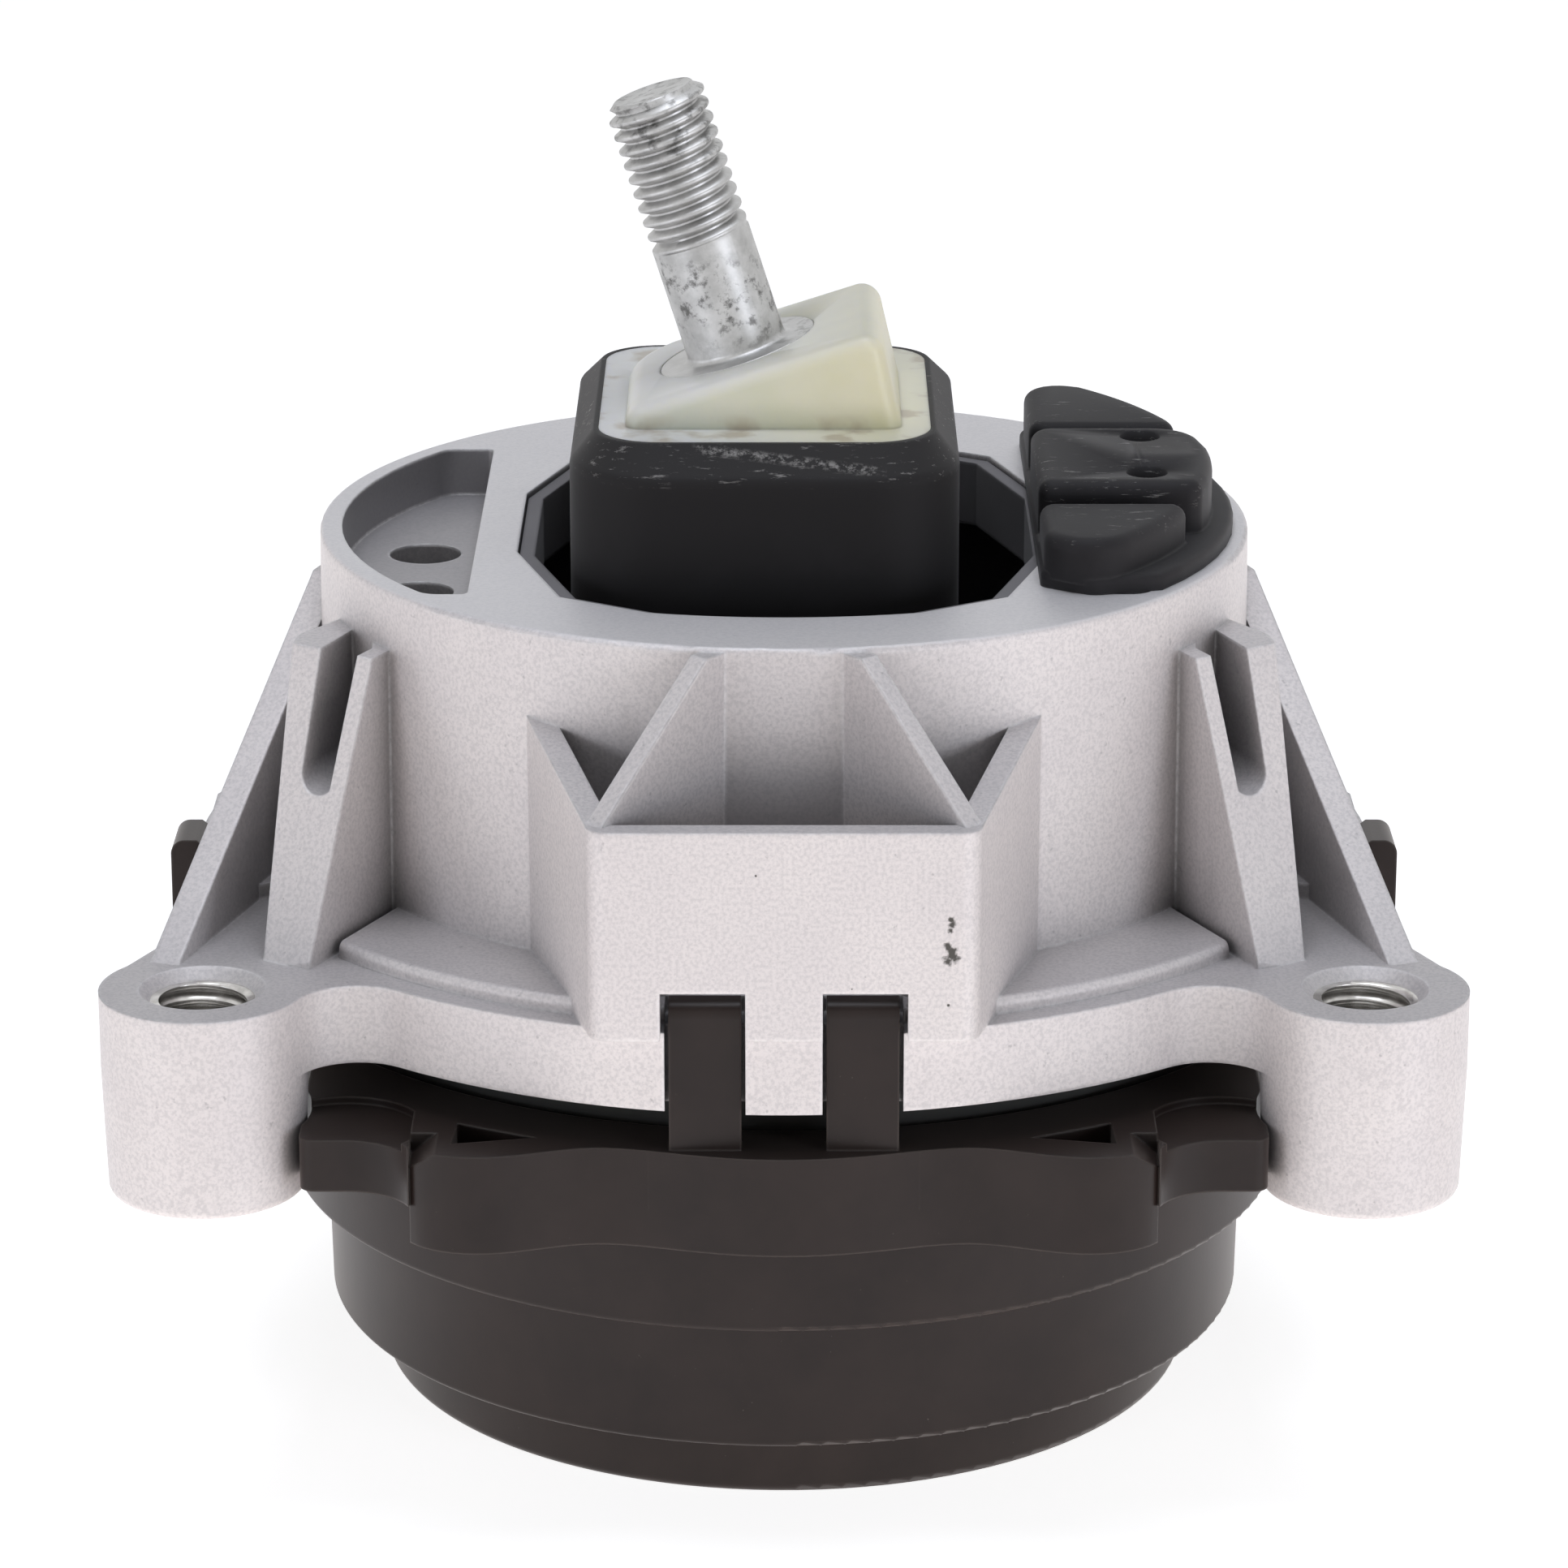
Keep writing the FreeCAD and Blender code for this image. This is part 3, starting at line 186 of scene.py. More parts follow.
def cast_aluminium():
    material, tree, output, place = blank("cast_aluminium")
    grain = noise(tree, place, GRAIN, 3.0, 0.6)
    cloud = noise(tree, place, 14 * MM, 3.0)
    speck = noise(tree, place, SPECK, 2.0, 0.7)
    edge_band, soft = edge_mask(tree, EDGE_RADIUS, 0.02, 0.15)
    sky = add(tree, "ShaderNodeAmbientOcclusion", {"Distance": HOLLOW}, samples=2).outputs["AO"]
    colour = blend(tree, ramp(tree, cloud, 0.35, 0.65), linear("d5d1d1"), linear("dbd7d6"))
    colour = blend(tree, ramp(tree, grain, 0.42, 0.62, 0.0, 0.42), colour, linear("b0aeb0"))
    colour = blend(tree, ramp(tree, speck, 0.68, 0.76, 0.0, 0.5), colour, linear("959496"))
    # Painted shade: where the ambient occlusion finds little open sky, in slots and hollows, the colour
    # is darkened towards 343335.
    colour = blend(tree, ramp(tree, sky, 0.22, 0.5, 0.9, 0.0), colour, linear("343335"))
    # Painted shade on the pocket's floor and back wall, the flange's top and the bracket's bays.
    colour = blend(tree, painted_shade_zones(tree, place), colour, linear("8b8a8d"))
    height = add(tree, "ShaderNodeSeparateXYZ", {0: place}).outputs[2]
    # Painted light: from 88.5 mm up, the top plate and all above it are lightened halfway towards
    # f6f5f6.
    colour = blend(tree, ramp(tree, height, 88.5 * MM, 88.68 * MM, 0.0, 0.5), colour, linear("f6f5f6"))
    # Edges lightened towards fbfafa, partly as wear and partly as a painted highlight, less so in
    # hollows.
    worn_and_highlit = calc(tree, "MULTIPLY", edge_band, ramp(tree, sky, 0.3, 0.6, 0.35, 1.0))
    broken = calc(tree, "MULTIPLY", worn_and_highlit, ramp(tree, speck, 0.35, 0.6, 0.3, 0.95))
    colour = blend(tree, broken, colour, linear("fbfafa"))
    ragged = noise(tree, place, 0.55 * MM, 3.0, 0.7)
    pits = 0.0
    for x, z, radius in PORES:
        pore = spot(tree, place, (x * MM, PLATE_Y * MM, z * MM), radius * MM, ragged)
        pits = calc(tree, "MAXIMUM", pits, pore)
    colour = blend(tree, pits, colour, linear("4a4844"))
    relief = calc(tree, "SUBTRACT", calc(tree, "MULTIPLY", grain, 0.12), pits)
    dents = add(tree, "ShaderNodeBump", {"Strength": 0.35, "Distance": 0.4 * MM, "Height": relief,
                                         "Normal": soft})
    shader = add(tree, "ShaderNodeBsdfPrincipled", {"Base Color": colour, "Metallic": 0.25,
                                                    "Roughness": 0.5, "Normal": dents.outputs[0]})
    tree.links.new(shader.outputs[0], output.inputs[0])
    return material


aluminium = cast_aluminium()
print("made", aluminium.name)

# %% [markdown]
# ## Rubber
# The jacket, the stop and the lining are carbon-black natural rubber, moulded in steel tools. It
# is nearly black and a little satin. Dust and mould powder lighten it in soft patches. Edges are
# lightened, partly as dry, whitish scuffs where they rub on other parts and partly as a painted
# highlight. One long scratch crosses the slope of the jacket's front. The jacket's lower part and
# the lining's wall are painted lighter than their tops as painted light, the lining's wall a mid
# grey.

# %% Material: moulded rubber
def long_scratch(tree, place, start, end, front):
    """Mask of one straight, broken scratch across a front face, ends given as x, z in mm."""
    x, y, z = add(tree, "ShaderNodeSeparateXYZ", {0: place}).outputs
    slope = (end[1] - start[1]) / (end[0] - start[0])
    rise = calc(tree, "ADD", calc(tree, "MULTIPLY", x, slope), (start[1] - slope * start[0]) * MM)
    off = calc(tree, "ABSOLUTE", calc(tree, "SUBTRACT", z, rise))
    mask = calc(tree, "MULTIPLY", ramp(tree, off, 0.1 * MM, 0.45 * MM, 1.0, 0.0),
                ramp(tree, noise(tree, place, 0.8 * MM, 5.0, 0.75), 0.48, 0.6))
    for side, low, high in ((x, start[0], start[0] + 1), (x, end[0], end[0] - 1),
                            (y, front, front - 1)):
        mask = calc(tree, "MULTIPLY", mask, ramp(tree, side, low * MM, high * MM))
    return mask


def moulded_rubber(name, body, dust, rub_and_highlight=0.2, scuff_low=None, scuff_high=None, lip=None, scratch=None):
    """Rubber whose scuffs show between two heights, and whose lower part may be painted lighter than its
    top, as painted light.
    """
    material, tree, output, place = blank(name)
    grain = noise(tree, place, 0.25 * MM, 2.0)
    cloud = noise(tree, place, 9 * MM, 4.0, 0.6)
    streak = add(tree, "ShaderNodeMapping", {"Vector": place, "Scale": (0.3, 1.0, 2.2)}).outputs[0]
    scuff = noise(tree, streak, 0.9 * MM, 5.0, 0.75)
    edge_band, soft = edge_mask(tree, 0.5 * MM)
    colour = blend(tree, ramp(tree, cloud, 0.45, 0.75, 0.0, 0.5), linear(body), linear(dust))
    height = add(tree, "ShaderNodeSeparateXYZ", {0: place}).outputs[2]
    # Painted light: below the low height the body colour stays lighter, and above the high height the
    # darker colour given takes over.
    if lip:
        code, low, high = lip
        colour = blend(tree, ramp(tree, height, low * MM, high * MM), colour, linear(code))
    if scuff_high:
        zone = ramp(tree, height, scuff_low, scuff_high)
        rubbed = calc(tree, "MULTIPLY", zone, ramp(tree, scuff, 0.59, 0.69))
        patch = calc(tree, "MULTIPLY", rubbed, ramp(tree, cloud, 0.4, 0.56))
        colour = blend(tree, calc(tree, "MULTIPLY", patch, 0.65), colour, linear("b9b7b3"))
    if scratch:
        line = calc(tree, "MULTIPLY", long_scratch(tree, place, *scratch), 0.6)
        colour = blend(tree, line, colour, linear("b9b7b3"))
    # Edges lightened towards 7d7c7c, partly as rubbing wear and partly as a painted highlight.
    colour = blend(tree, calc(tree, "MULTIPLY", edge_band, rub_and_highlight), colour, linear("7d7c7c"))
    bump = add(tree, "ShaderNodeBump", {"Strength": 0.2, "Distance": 0.03 * MM, "Height": grain,
                                        "Normal": soft})
    shader = add(tree, "ShaderNodeBsdfPrincipled", {
        "Base Color": colour, "Roughness": 0.6, "IOR": 1.52, "Specular IOR Level": 0.14,
        "Sheen Weight": 0.12, "Sheen Roughness": 0.4, "Normal": bump.outputs[0]})
    tree.links.new(shader.outputs[0], output.inputs[0])
    return material


# Painted light: the jacket's body 2c2b2c below 86 mm is lighter than its top, 201f20 above 97 mm.
jacket_rubber = moulded_rubber("jacket_rubber", "2c2b2c", "39383a", 0.2, 98.4 * MM, 99.6 * MM,
                               lip=("201f20", 86, 97),
                               scratch=((-9.0, 101.6), (10.0, 99.9), -10))
stop_rubber = moulded_rubber("stop_rubber", "262527", "343335", 0.2, 92.5 * MM, 94 * MM)
# Painted light: the lining's wall is a mid grey 858385, far lighter than black rubber; its top lip above
# 90.5 mm is 373638.
lining_rubber = moulded_rubber("lining_rubber", "858385", "8f8d8f", 0.2, lip=("373638", 88.5, 90.5))
inner_rubber = moulded_rubber("inner_rubber", "424240", "4a4b46")
print("made", jacket_rubber.name, stop_rubber.name, lining_rubber.name, inner_rubber.name)

# %% [markdown]
# ## Glass-filled plastic
# Cup and clip ring are injection-moulded polyamide with glass fibre, dyed black. It looks a warm
# dark grey, because fibres near the surface scatter a little light.

# %% Material: black polyamide
def black_polyamide():
    material, tree, output, place = blank("black_polyamide")
    grain = noise(tree, place, 0.3 * MM, 3.0)
    cloud = noise(tree, place, 12 * MM, 4.0, 0.6)
    fibre = noise(tree, place, 0.6 * MM, 3.0, 0.8)
    edge_band, soft = edge_mask(tree, 0.35 * MM)
    colour = blend(tree, ramp(tree, cloud, 0.35, 0.7), linear("211917"), linear("2a211e"))
    colour = blend(tree, ramp(tree, fibre, 0.72, 0.8, 0.0, 0.5), colour, linear("7d756f"))
    colour = blend(tree, calc(tree, "MULTIPLY", edge_band, 0.35), colour, linear("7a716a"))
    bump = add(tree, "ShaderNodeBump", {"Strength": 0.15, "Distance": 0.03 * MM, "Height": grain,
                                        "Normal": soft})
    shader = add(tree, "ShaderNodeBsdfPrincipled", {
        "Base Color": colour, "Roughness": 0.36, "IOR": 1.53, "Specular IOR Level": 0.24,
        "Sheen Weight": 0.16, "Sheen Roughness": 0.35, "Sheen Tint": linear("d8cdc6"),
        "Normal": bump.outputs[0]})
    tree.links.new(shader.outputs[0], output.inputs[0])
    return material


polyamide = black_polyamide()
print("made", polyamide.name)

# %% [markdown]
# ## Natural nylon
# The core is undyed nylon: cream with a hint of green, slightly see-through, so light softens
# inside it. Its upward faces are painted paler than its fronts as painted light. Near the rubber
# it is stained brownish by the moulding heat.

# %% Material: natural nylon
def natural_nylon():
    material, tree, output, place = blank("natural_nylon")
    cloud = noise(tree, place, 5 * MM, 3.0)
    grain = noise(tree, place, 0.5 * MM, 2.0)
    across, _, height = add(tree, "ShaderNodeSeparateXYZ", {0: place}).outputs
    normal = tree.nodes.new("ShaderNodeNewGeometry").outputs["Normal"]
    facing_up = add(tree, "ShaderNodeSeparateXYZ", {0: normal}).outputs[2]
    low = calc(tree, "MULTIPLY", ramp(tree, height, 103.5 * MM, 101.9 * MM),
               ramp(tree, cloud, 0.5, 0.62))
    colour = blend(tree, ramp(tree, across, -12 * MM, 12 * MM), linear("d3d8ca"), linear("dcd9b4"))
    # Painted light: upward faces are paler than the fronts.
    painted_lit_top = blend(tree, ramp(tree, across, -9 * MM, 9 * MM), linear("f6f6f2"), linear("f3f0d6"))
    colour = blend(tree, ramp(tree, facing_up, 0.1, 0.85), colour, painted_lit_top)
    colour = blend(tree, ramp(tree, cloud, 0.35, 0.65, 0.0, 0.3), colour, linear("e6e4d4"))
    colour = blend(tree, calc(tree, "MULTIPLY", low, 0.5), colour, linear("a5906f"))
    bump = add(tree, "ShaderNodeBump", {"Strength": 0.1, "Distance": 0.05 * MM, "Height": grain,
                                        "Normal": edge_mask(tree, 0.5 * MM)[1]})
    shader = add(tree, "ShaderNodeBsdfPrincipled", {
        "Base Color": colour, "Roughness": 0.38, "IOR": 1.53, "Subsurface Weight": 0.3,
        "Subsurface Radius": (1.0, 0.9, 0.5), "Subsurface Scale": 2.0 * MM, "Normal": bump.outputs[0]})
    tree.links.new(shader.outputs[0], output.inputs[0])
    return material


nylon = natural_nylon()
print("made", nylon.name)

# %% [markdown]
# ## Zinc-plated steel
# The stud is turned steel with a thin bright zinc plating. Zinc is a little dull and cloudy, and
# oil and dirt leave grey smudges on the plain shank.

# %% Material: zinc-plated steel
def zinc_steel():
    material, tree, output, place = blank("zinc_steel")
    cloud = noise(tree, place, 2.5 * MM, 4.0, 0.65)
    smudge = noise(tree, place, 1.6 * MM, 5.0, 0.7)
    soft = edge_mask(tree, 0.12 * MM)[1]
    height = add(tree, "ShaderNodeSeparateXYZ", {0: place}).outputs[2]
    shank = calc(tree, "MULTIPLY", ramp(tree, height, 107 * MM, 111 * MM),
                 ramp(tree, height, 118 * MM, 115.5 * MM))
    tip = calc(tree, "MULTIPLY", ramp(tree, height, 125 * MM, 128 * MM), 0.8)
    colour = blend(tree, ramp(tree, cloud, 0.35, 0.65), linear("a5a5a4"), linear("bfbfbe"))
    dirt = calc(tree, "MULTIPLY", calc(tree, "MAXIMUM", shank, tip), ramp(tree, smudge, 0.51, 0.63))
    colour = blend(tree, calc(tree, "MULTIPLY", dirt, 0.8), colour, linear("454442"))
    shader = add(tree, "ShaderNodeBsdfPrincipled", {"Base Color": colour, "Metallic": 0.8,
                                                    "Roughness": ramp(tree, cloud, 0.3, 0.7, 0.32, 0.46),
                                                    "Normal": soft})
    tree.links.new(shader.outputs[0], output.inputs[0])
    return material


def cut_aluminium():
    """Bright metal that a tap leaves in the lug bores."""
    material, tree, output, place = blank("cut_aluminium")
    cloud = noise(tree, place, 1.5 * MM, 3.0)
    colour = blend(tree, ramp(tree, cloud, 0.35, 0.65), linear("b5b3b0"), linear("d6d4d1"))
    shader = add(tree, "ShaderNodeBsdfPrincipled", {"Base Color": colour, "Metallic": 0.95,
                                                    "Roughness": 0.25})
    tree.links.new(shader.outputs[0], output.inputs[0])
    return material


zinc = zinc_steel()
tapped = cut_aluminium()
print("made", zinc.name, tapped.name)

# %% Dress the solids
FINISHES = {"housing": aluminium, "stud": zinc, "core": nylon, "main_spring": jacket_rubber,
            "stop_liner": lining_rubber, "side_buffer": stop_rubber, "spring_ring": inner_rubber,
            "upper_channel_plate": aluminium, "lower_channel_plate": aluminium,
            "decoupler_membrane": inner_rubber, "diaphragm": inner_rubber, "diaphragm_ring": zinc,
            "clip_collar": polyamide, "cup": polyamide}
for name, material in FINISHES.items():
    nodes[name].data.materials.clear()
    nodes[name].data.materials.append(material)
print("dressed", len(FINISHES), "solids")

# %% [markdown]
# ## Screw threads
# Stud and lugs carry M10 threads with a pitch of 1.5 mm. A thread is a zigzag outline that climbs
# one pitch while it goes round once, so `spin` with a small upward step makes it in one go: the
# last column of the screw meets the first one, a pitch higher, and their doubles merge. The ends
# are cut square with `bisect_plane`.

# %% Thread
PITCH = 1.5 * MM
TURN_STEPS = 72
THREAD_R = 5.0 * MM
FLANKS = ((0.0, 0.0), (0.14, 0.0), (0.42, 0.92), (0.5, 1.0), (0.64, 1.0), (0.72, 0.92))


def on_radius(vert, radius):
    """Move a vertex straight in or out to a radius round the Z axis."""
    now = math.hypot(vert.co.x, vert.co.y)
    vert.co.x *= radius / now
    vert.co.y *= radius / now


def thread(root, crest, low, high, least, most):
    """Screw surface from low to high; least and most bound its radius by height."""
    mesh = bmesh.new()
    points = []
    for turn in range(-1, math.ceil((high - low) / PITCH) + 1):
        for share, out in FLANKS:
            radius = root + (crest - root) * out
            points.append(mesh.verts.new((radius, 0, low + (turn + share) * PITCH)))
    line = [mesh.edges.new(pair) for pair in zip(points, points[1:])]
    bmesh.ops.spin(mesh, geom=points + line, axis=(0, 0, 1), dvec=(0, 0, PITCH / TURN_STEPS),
                   angle=math.tau, steps=TURN_STEPS)
    bmesh.ops.remove_doubles(mesh, verts=mesh.verts, dist=0.002 * MM)
    for vert in mesh.verts:
        radius = math.hypot(vert.co.x, vert.co.y)
        on_radius(vert, max(least(vert.co.z), min(most(vert.co.z), radius)))
    for height, up in ((low, 1), (high, -1)):
        bmesh.ops.bisect_plane(mesh, geom=mesh.verts[:] + mesh.edges[:] + mesh.faces[:],
                               dist=0.001 * MM, plane_co=(0, 0, height), plane_no=(0, 0, up),
                               clear_inner=True)
    return mesh


def rim(mesh, height):
    """Open edges of a mesh at one height."""
    return [edge for edge in mesh.edges if edge.is_boundary
            and all(abs(vert.co.z - height) < 0.01 * MM for vert in edge.verts)]


def turn_on(mesh, loop, outline):
    """Carry a round rim on through pairs of radius and height, as on a lathe."""
    for radius, height in outline:
        grown = bmesh.ops.extrude_edge_only(mesh, edges=loop)["geom"]
        fresh = {item for item in grown if isinstance(item, bmesh.types.BMVert)}
        for vert in fresh:
            on_radius(vert, radius)
            vert.co.z = height
        loop = [item for item in grown if isinstance(item, bmesh.types.BMEdge)
                and item.verts[0] in fresh and item.verts[1] in fresh]
    return loop


def finish(mesh, name, material, turn=35):
    """Object of a bmesh, shaded smooth up to an angle, that rides on the mount's body."""
    bmesh.ops.recalc_face_normals(mesh, faces=mesh.faces)
    data = bpy.data.meshes.new(name)
    mesh.to_mesh(data)
    mesh.free()
    data.shade_smooth()
    data.set_sharp_from_angle(angle=math.radians(turn))
    data.materials.append(material)
    piece = bpy.data.objects.new(name, data)
    bpy.context.scene.collection.objects.link(piece)
    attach(piece, "root")
    print(name, "faces:", len(data.polygons))
    return piece


# %% [markdown]
# ## Threaded stud
# The stud is one turned piece: 15 mm of thread, a plain shank, a flat collar and a root inside
# the nylon. It is built upright, from the thread down to the root, and then leant over by the
# 17.8 degrees at which it stands.

# %% Stud
STUD_FOOT = Vector((-4.7, -3.2, 107.2)) * MM
STUD_LEAN = math.radians(-17.8)
STUD_TOP = 27 * MM
THREAD_START = 11.6 * MM
TIP_CHAMFER = 0.9 * MM
STUD_END = ((3.7 * MM, STUD_TOP - 0.02 * MM), (3.2 * MM, STUD_TOP - 0.12 * MM))
STUD_CORE_R = 4.1 * MM
STUD_BELOW = ((5.0, 0.6), (5.07, 0.3), (5.3, 0.08), (5.6, 0.0), (7.9, 0.0), (8.1, -0.2), (8.1, -2.0),
              (6.5, -2.0), (6.5, -24.0))


def threaded_stud():
    mesh = thread(STUD_CORE_R, THREAD_R, THREAD_START, STUD_TOP,
                  lambda z: THREAD_R - max(0.0, z - THREAD_START) * 0.8,
                  lambda z: THREAD_R - max(0.0, z - (STUD_TOP - TIP_CHAMFER)) * 1.1)
    dome = turn_on(mesh, rim(mesh, STUD_TOP), STUD_END)
    bmesh.ops.holes_fill(mesh, edges=dome)
    base = turn_on(mesh, rim(mesh, THREAD_START), [(r * MM, z * MM) for r, z in STUD_BELOW])
    bmesh.ops.holes_fill(mesh, edges=base)
    bmesh.ops.transform(mesh, verts=mesh.verts,
                        matrix=Matrix.Translation(STUD_FOOT) @ Matrix.Rotation(STUD_LEAN, 4, "Y"))
    return finish(mesh, "threaded_stud", zinc)


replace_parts(threaded_stud(), "stud")

# %% [markdown]
# ## Tapped lugs
# The thread in a lug is cut into the casting. Here it is a thin sleeve of bright metal: the same
# screw surface seen from inside, closed at its back by a ring that is sunk into the wall.

# %% Thread sleeves in the lugs
LUGS = {mount["name"]: mount["pos_m"] for mount in frame["record"]["mounts"]
        if mount["kind"] == "threaded_hole"}
BORE = (35.9 * MM, 53.9 * MM)
NUT_CORE_R = 4.19 * MM
SLEEVE_R = 5.05 * MM


def tapped_sleeve(name, x, y):
    """Thread of one lug, from the bottom of its bore to the countersink."""
    low, high = BORE
    mesh = thread(THREAD_R - 0.03 * MM, NUT_CORE_R, low, high, lambda z: NUT_CORE_R,
                  lambda z: THREAD_R)
    back = [edge for height in BORE for edge in turn_on(mesh, rim(mesh, height), ((SLEEVE_R, height),))]
    bmesh.ops.bridge_loops(mesh, edges=back)
    bmesh.ops.translate(mesh, verts=mesh.verts, vec=(x, y, 0))
    return finish(mesh, "thread_" + name, tapped)


for name, (x, y, _) in LUGS.items():
    tapped_sleeve(name, x, y)

# %% [markdown]
# ## Nylon core with rounded edges
# The wedge left its mould with rounded edges. A copy of the CAD mesh is merged where its facets
# share points, its flat areas are dissolved into single faces, and the sharp edges of the wedge
# are bevelled round. Edges round the stud's collar stay sharp, so the collar still fits.

# %% Core
LEDGE_Z = 101.9 * MM
COLLAR_REACH = 8.8 * MM
WEDGE_ROUND = 1.6 * MM


def merged_copy(node):
    """Bmesh of a CAD solid with shared points and flat faces."""
    mesh = bmesh.new()
    mesh.from_mesh(nodes[node].data)
    bmesh.ops.remove_doubles(mesh, verts=mesh.verts, dist=0.002 * MM)
    bmesh.ops.dissolve_limit(mesh, angle_limit=math.radians(0.5), verts=mesh.verts, edges=mesh.edges)
    return mesh


def rounded_core():
    mesh = merged_copy("core")
    axis = Vector((math.sin(STUD_LEAN), 0, math.cos(STUD_LEAN)))
    chosen = []
    for edge in mesh.edges:
        middle = (edge.verts[0].co + edge.verts[1].co) / 2
        from_axis = (middle - STUD_FOOT).cross(axis).length
        if middle.z > LEDGE_Z + 0.1 * MM and from_axis > COLLAR_REACH and edge.calc_face_angle(0) > 0.5:
            chosen.append(edge)
    bmesh.ops.bevel(mesh, geom=chosen, offset=WEDGE_ROUND, offset_type="OFFSET", segments=5, profile=0.5,
                    affect="EDGES", clamp_overlap=True, material=-1)
    return finish(mesh, "nylon_core", nylon)


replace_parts(rounded_core(), "core")

# %% [markdown]
# ## Rubber stop
# Three soft blocks stand on a thin lip. Their outer wall follows the tower's rim, their corners are
# round in plan and their top rims are rolled over with `bevel`. The two dimples are the blind ends
# of the pegs that hold the stop in its pocket. Plug and pegs are taken over from the CAD mesh: it
# is cut at the height of the plate with `bisect_plane` and only the part below it stays.

# %% Stop
PLATE_Z = 88.7
WALL_R = 42.5
LIP_R = 45.3
LIP_T, LIP_ROLL = 1.6, 0.6
STOP_SIDE_X = 25.2
BLOCK_ROOT = PLATE_Z + 1.0
FRONT_TOP, MIDDLE_TOP, BACK_TOP = 94.1, 95.6, 95.3
BLOCK_ROLL = 1.3
DIMPLES = ((36.2, 5.9), (36.1, -8.3))
DIMPLE_R, DIMPLE_D = 2.1, 1.7


def rounded(corners):
    """Plan outline in mm from corners given as x, y and corner radius."""
    points = []
    for index, (x, y, radius) in enumerate(corners):
        here = Vector((x, y))
        if not radius:
            points.append(here)
            continue
        back = (Vector(corners[index - 1][:2]) - here).normalized()
        ahead = (Vector(corners[(index + 1) % len(corners)][:2]) - here).normalized()
        half = back.angle(ahead) / 2
        start, end = [here + way * radius / math.tan(half) for way in (back, ahead)]
        centre = here + (back + ahead).normalized() * radius / math.sin(half)
        for step in range(9):
            points.append(centre + (start.lerp(end, step / 8) - centre).normalized() * radius)
    return points


def rim_arc(radius, start, end, steps=14):
    """Sharp corners along the rim, between two angles in degrees."""
    turns = [math.radians(start + (end - start) * step / steps) for step in range(steps + 1)]
    return [(radius * math.cos(turn), radius * math.sin(turn), 0) for turn in turns]


def raised(mesh, outline, bottom, top, roll):
    """Upright block on an outline with a rolled top rim; gives back its top face."""
    floor = mesh.faces.new([mesh.verts.new((p.x * MM, p.y * MM, bottom * MM)) for p in outline])
    grown = bmesh.ops.extrude_face_region(mesh, geom=[floor], use_keep_orig=True)["geom"]
    lifted = {item for item in grown if isinstance(item, bmesh.types.BMVert)}
    bmesh.ops.translate(mesh, verts=list(lifted), vec=(0, 0, (top - bottom) * MM))
    edges = [item for item in grown if isinstance(item, bmesh.types.BMEdge)
             and item.verts[0] in lifted and item.verts[1] in lifted]
    bmesh.ops.bevel(mesh, geom=edges, offset=roll * MM, offset_type="OFFSET", segments=5, profile=0.5,
                    affect="EDGES", clamp_overlap=True, material=-1)
    flat = [face for face in mesh.faces if abs(face.calc_center_median().z - top * MM) < 0.001 * MM]
    return max(flat, key=lambda face: face.calc_area())


def dimple(mesh, face):
    """Sink the two blind holes into a flat top face."""
    height = face.verts[0].co.z
    loops = list(face.edges)
    bmesh.ops.delete(mesh, geom=[face], context="FACES_ONLY")
    holes = []
    for x, y in DIMPLES:
        ring = bmesh.ops.create_circle(mesh, segments=32, radius=DIMPLE_R * MM,
                                       matrix=Matrix.Translation((x * MM, y * MM, height)))["verts"]
        holes.append(list({edge for vert in ring for edge in vert.link_edges}))
        loops += holes[-1]
    bmesh.ops.triangle_fill(mesh, edges=loops, use_beauty=True, use_dissolve=False)
    for hole in holes:
        grown = bmesh.ops.extrude_edge_only(mesh, edges=hole)["geom"]
        sunk = {item for item in grown if isinstance(item, bmesh.types.BMVert)}
        bmesh.ops.translate(mesh, verts=list(sunk), vec=(0, 0, -DIMPLE_D * MM))
        bmesh.ops.holes_fill(mesh, edges=[item for item in grown if isinstance(item, bmesh.types.BMEdge)
                                          and item.verts[0] in sunk and item.verts[1] in sunk])


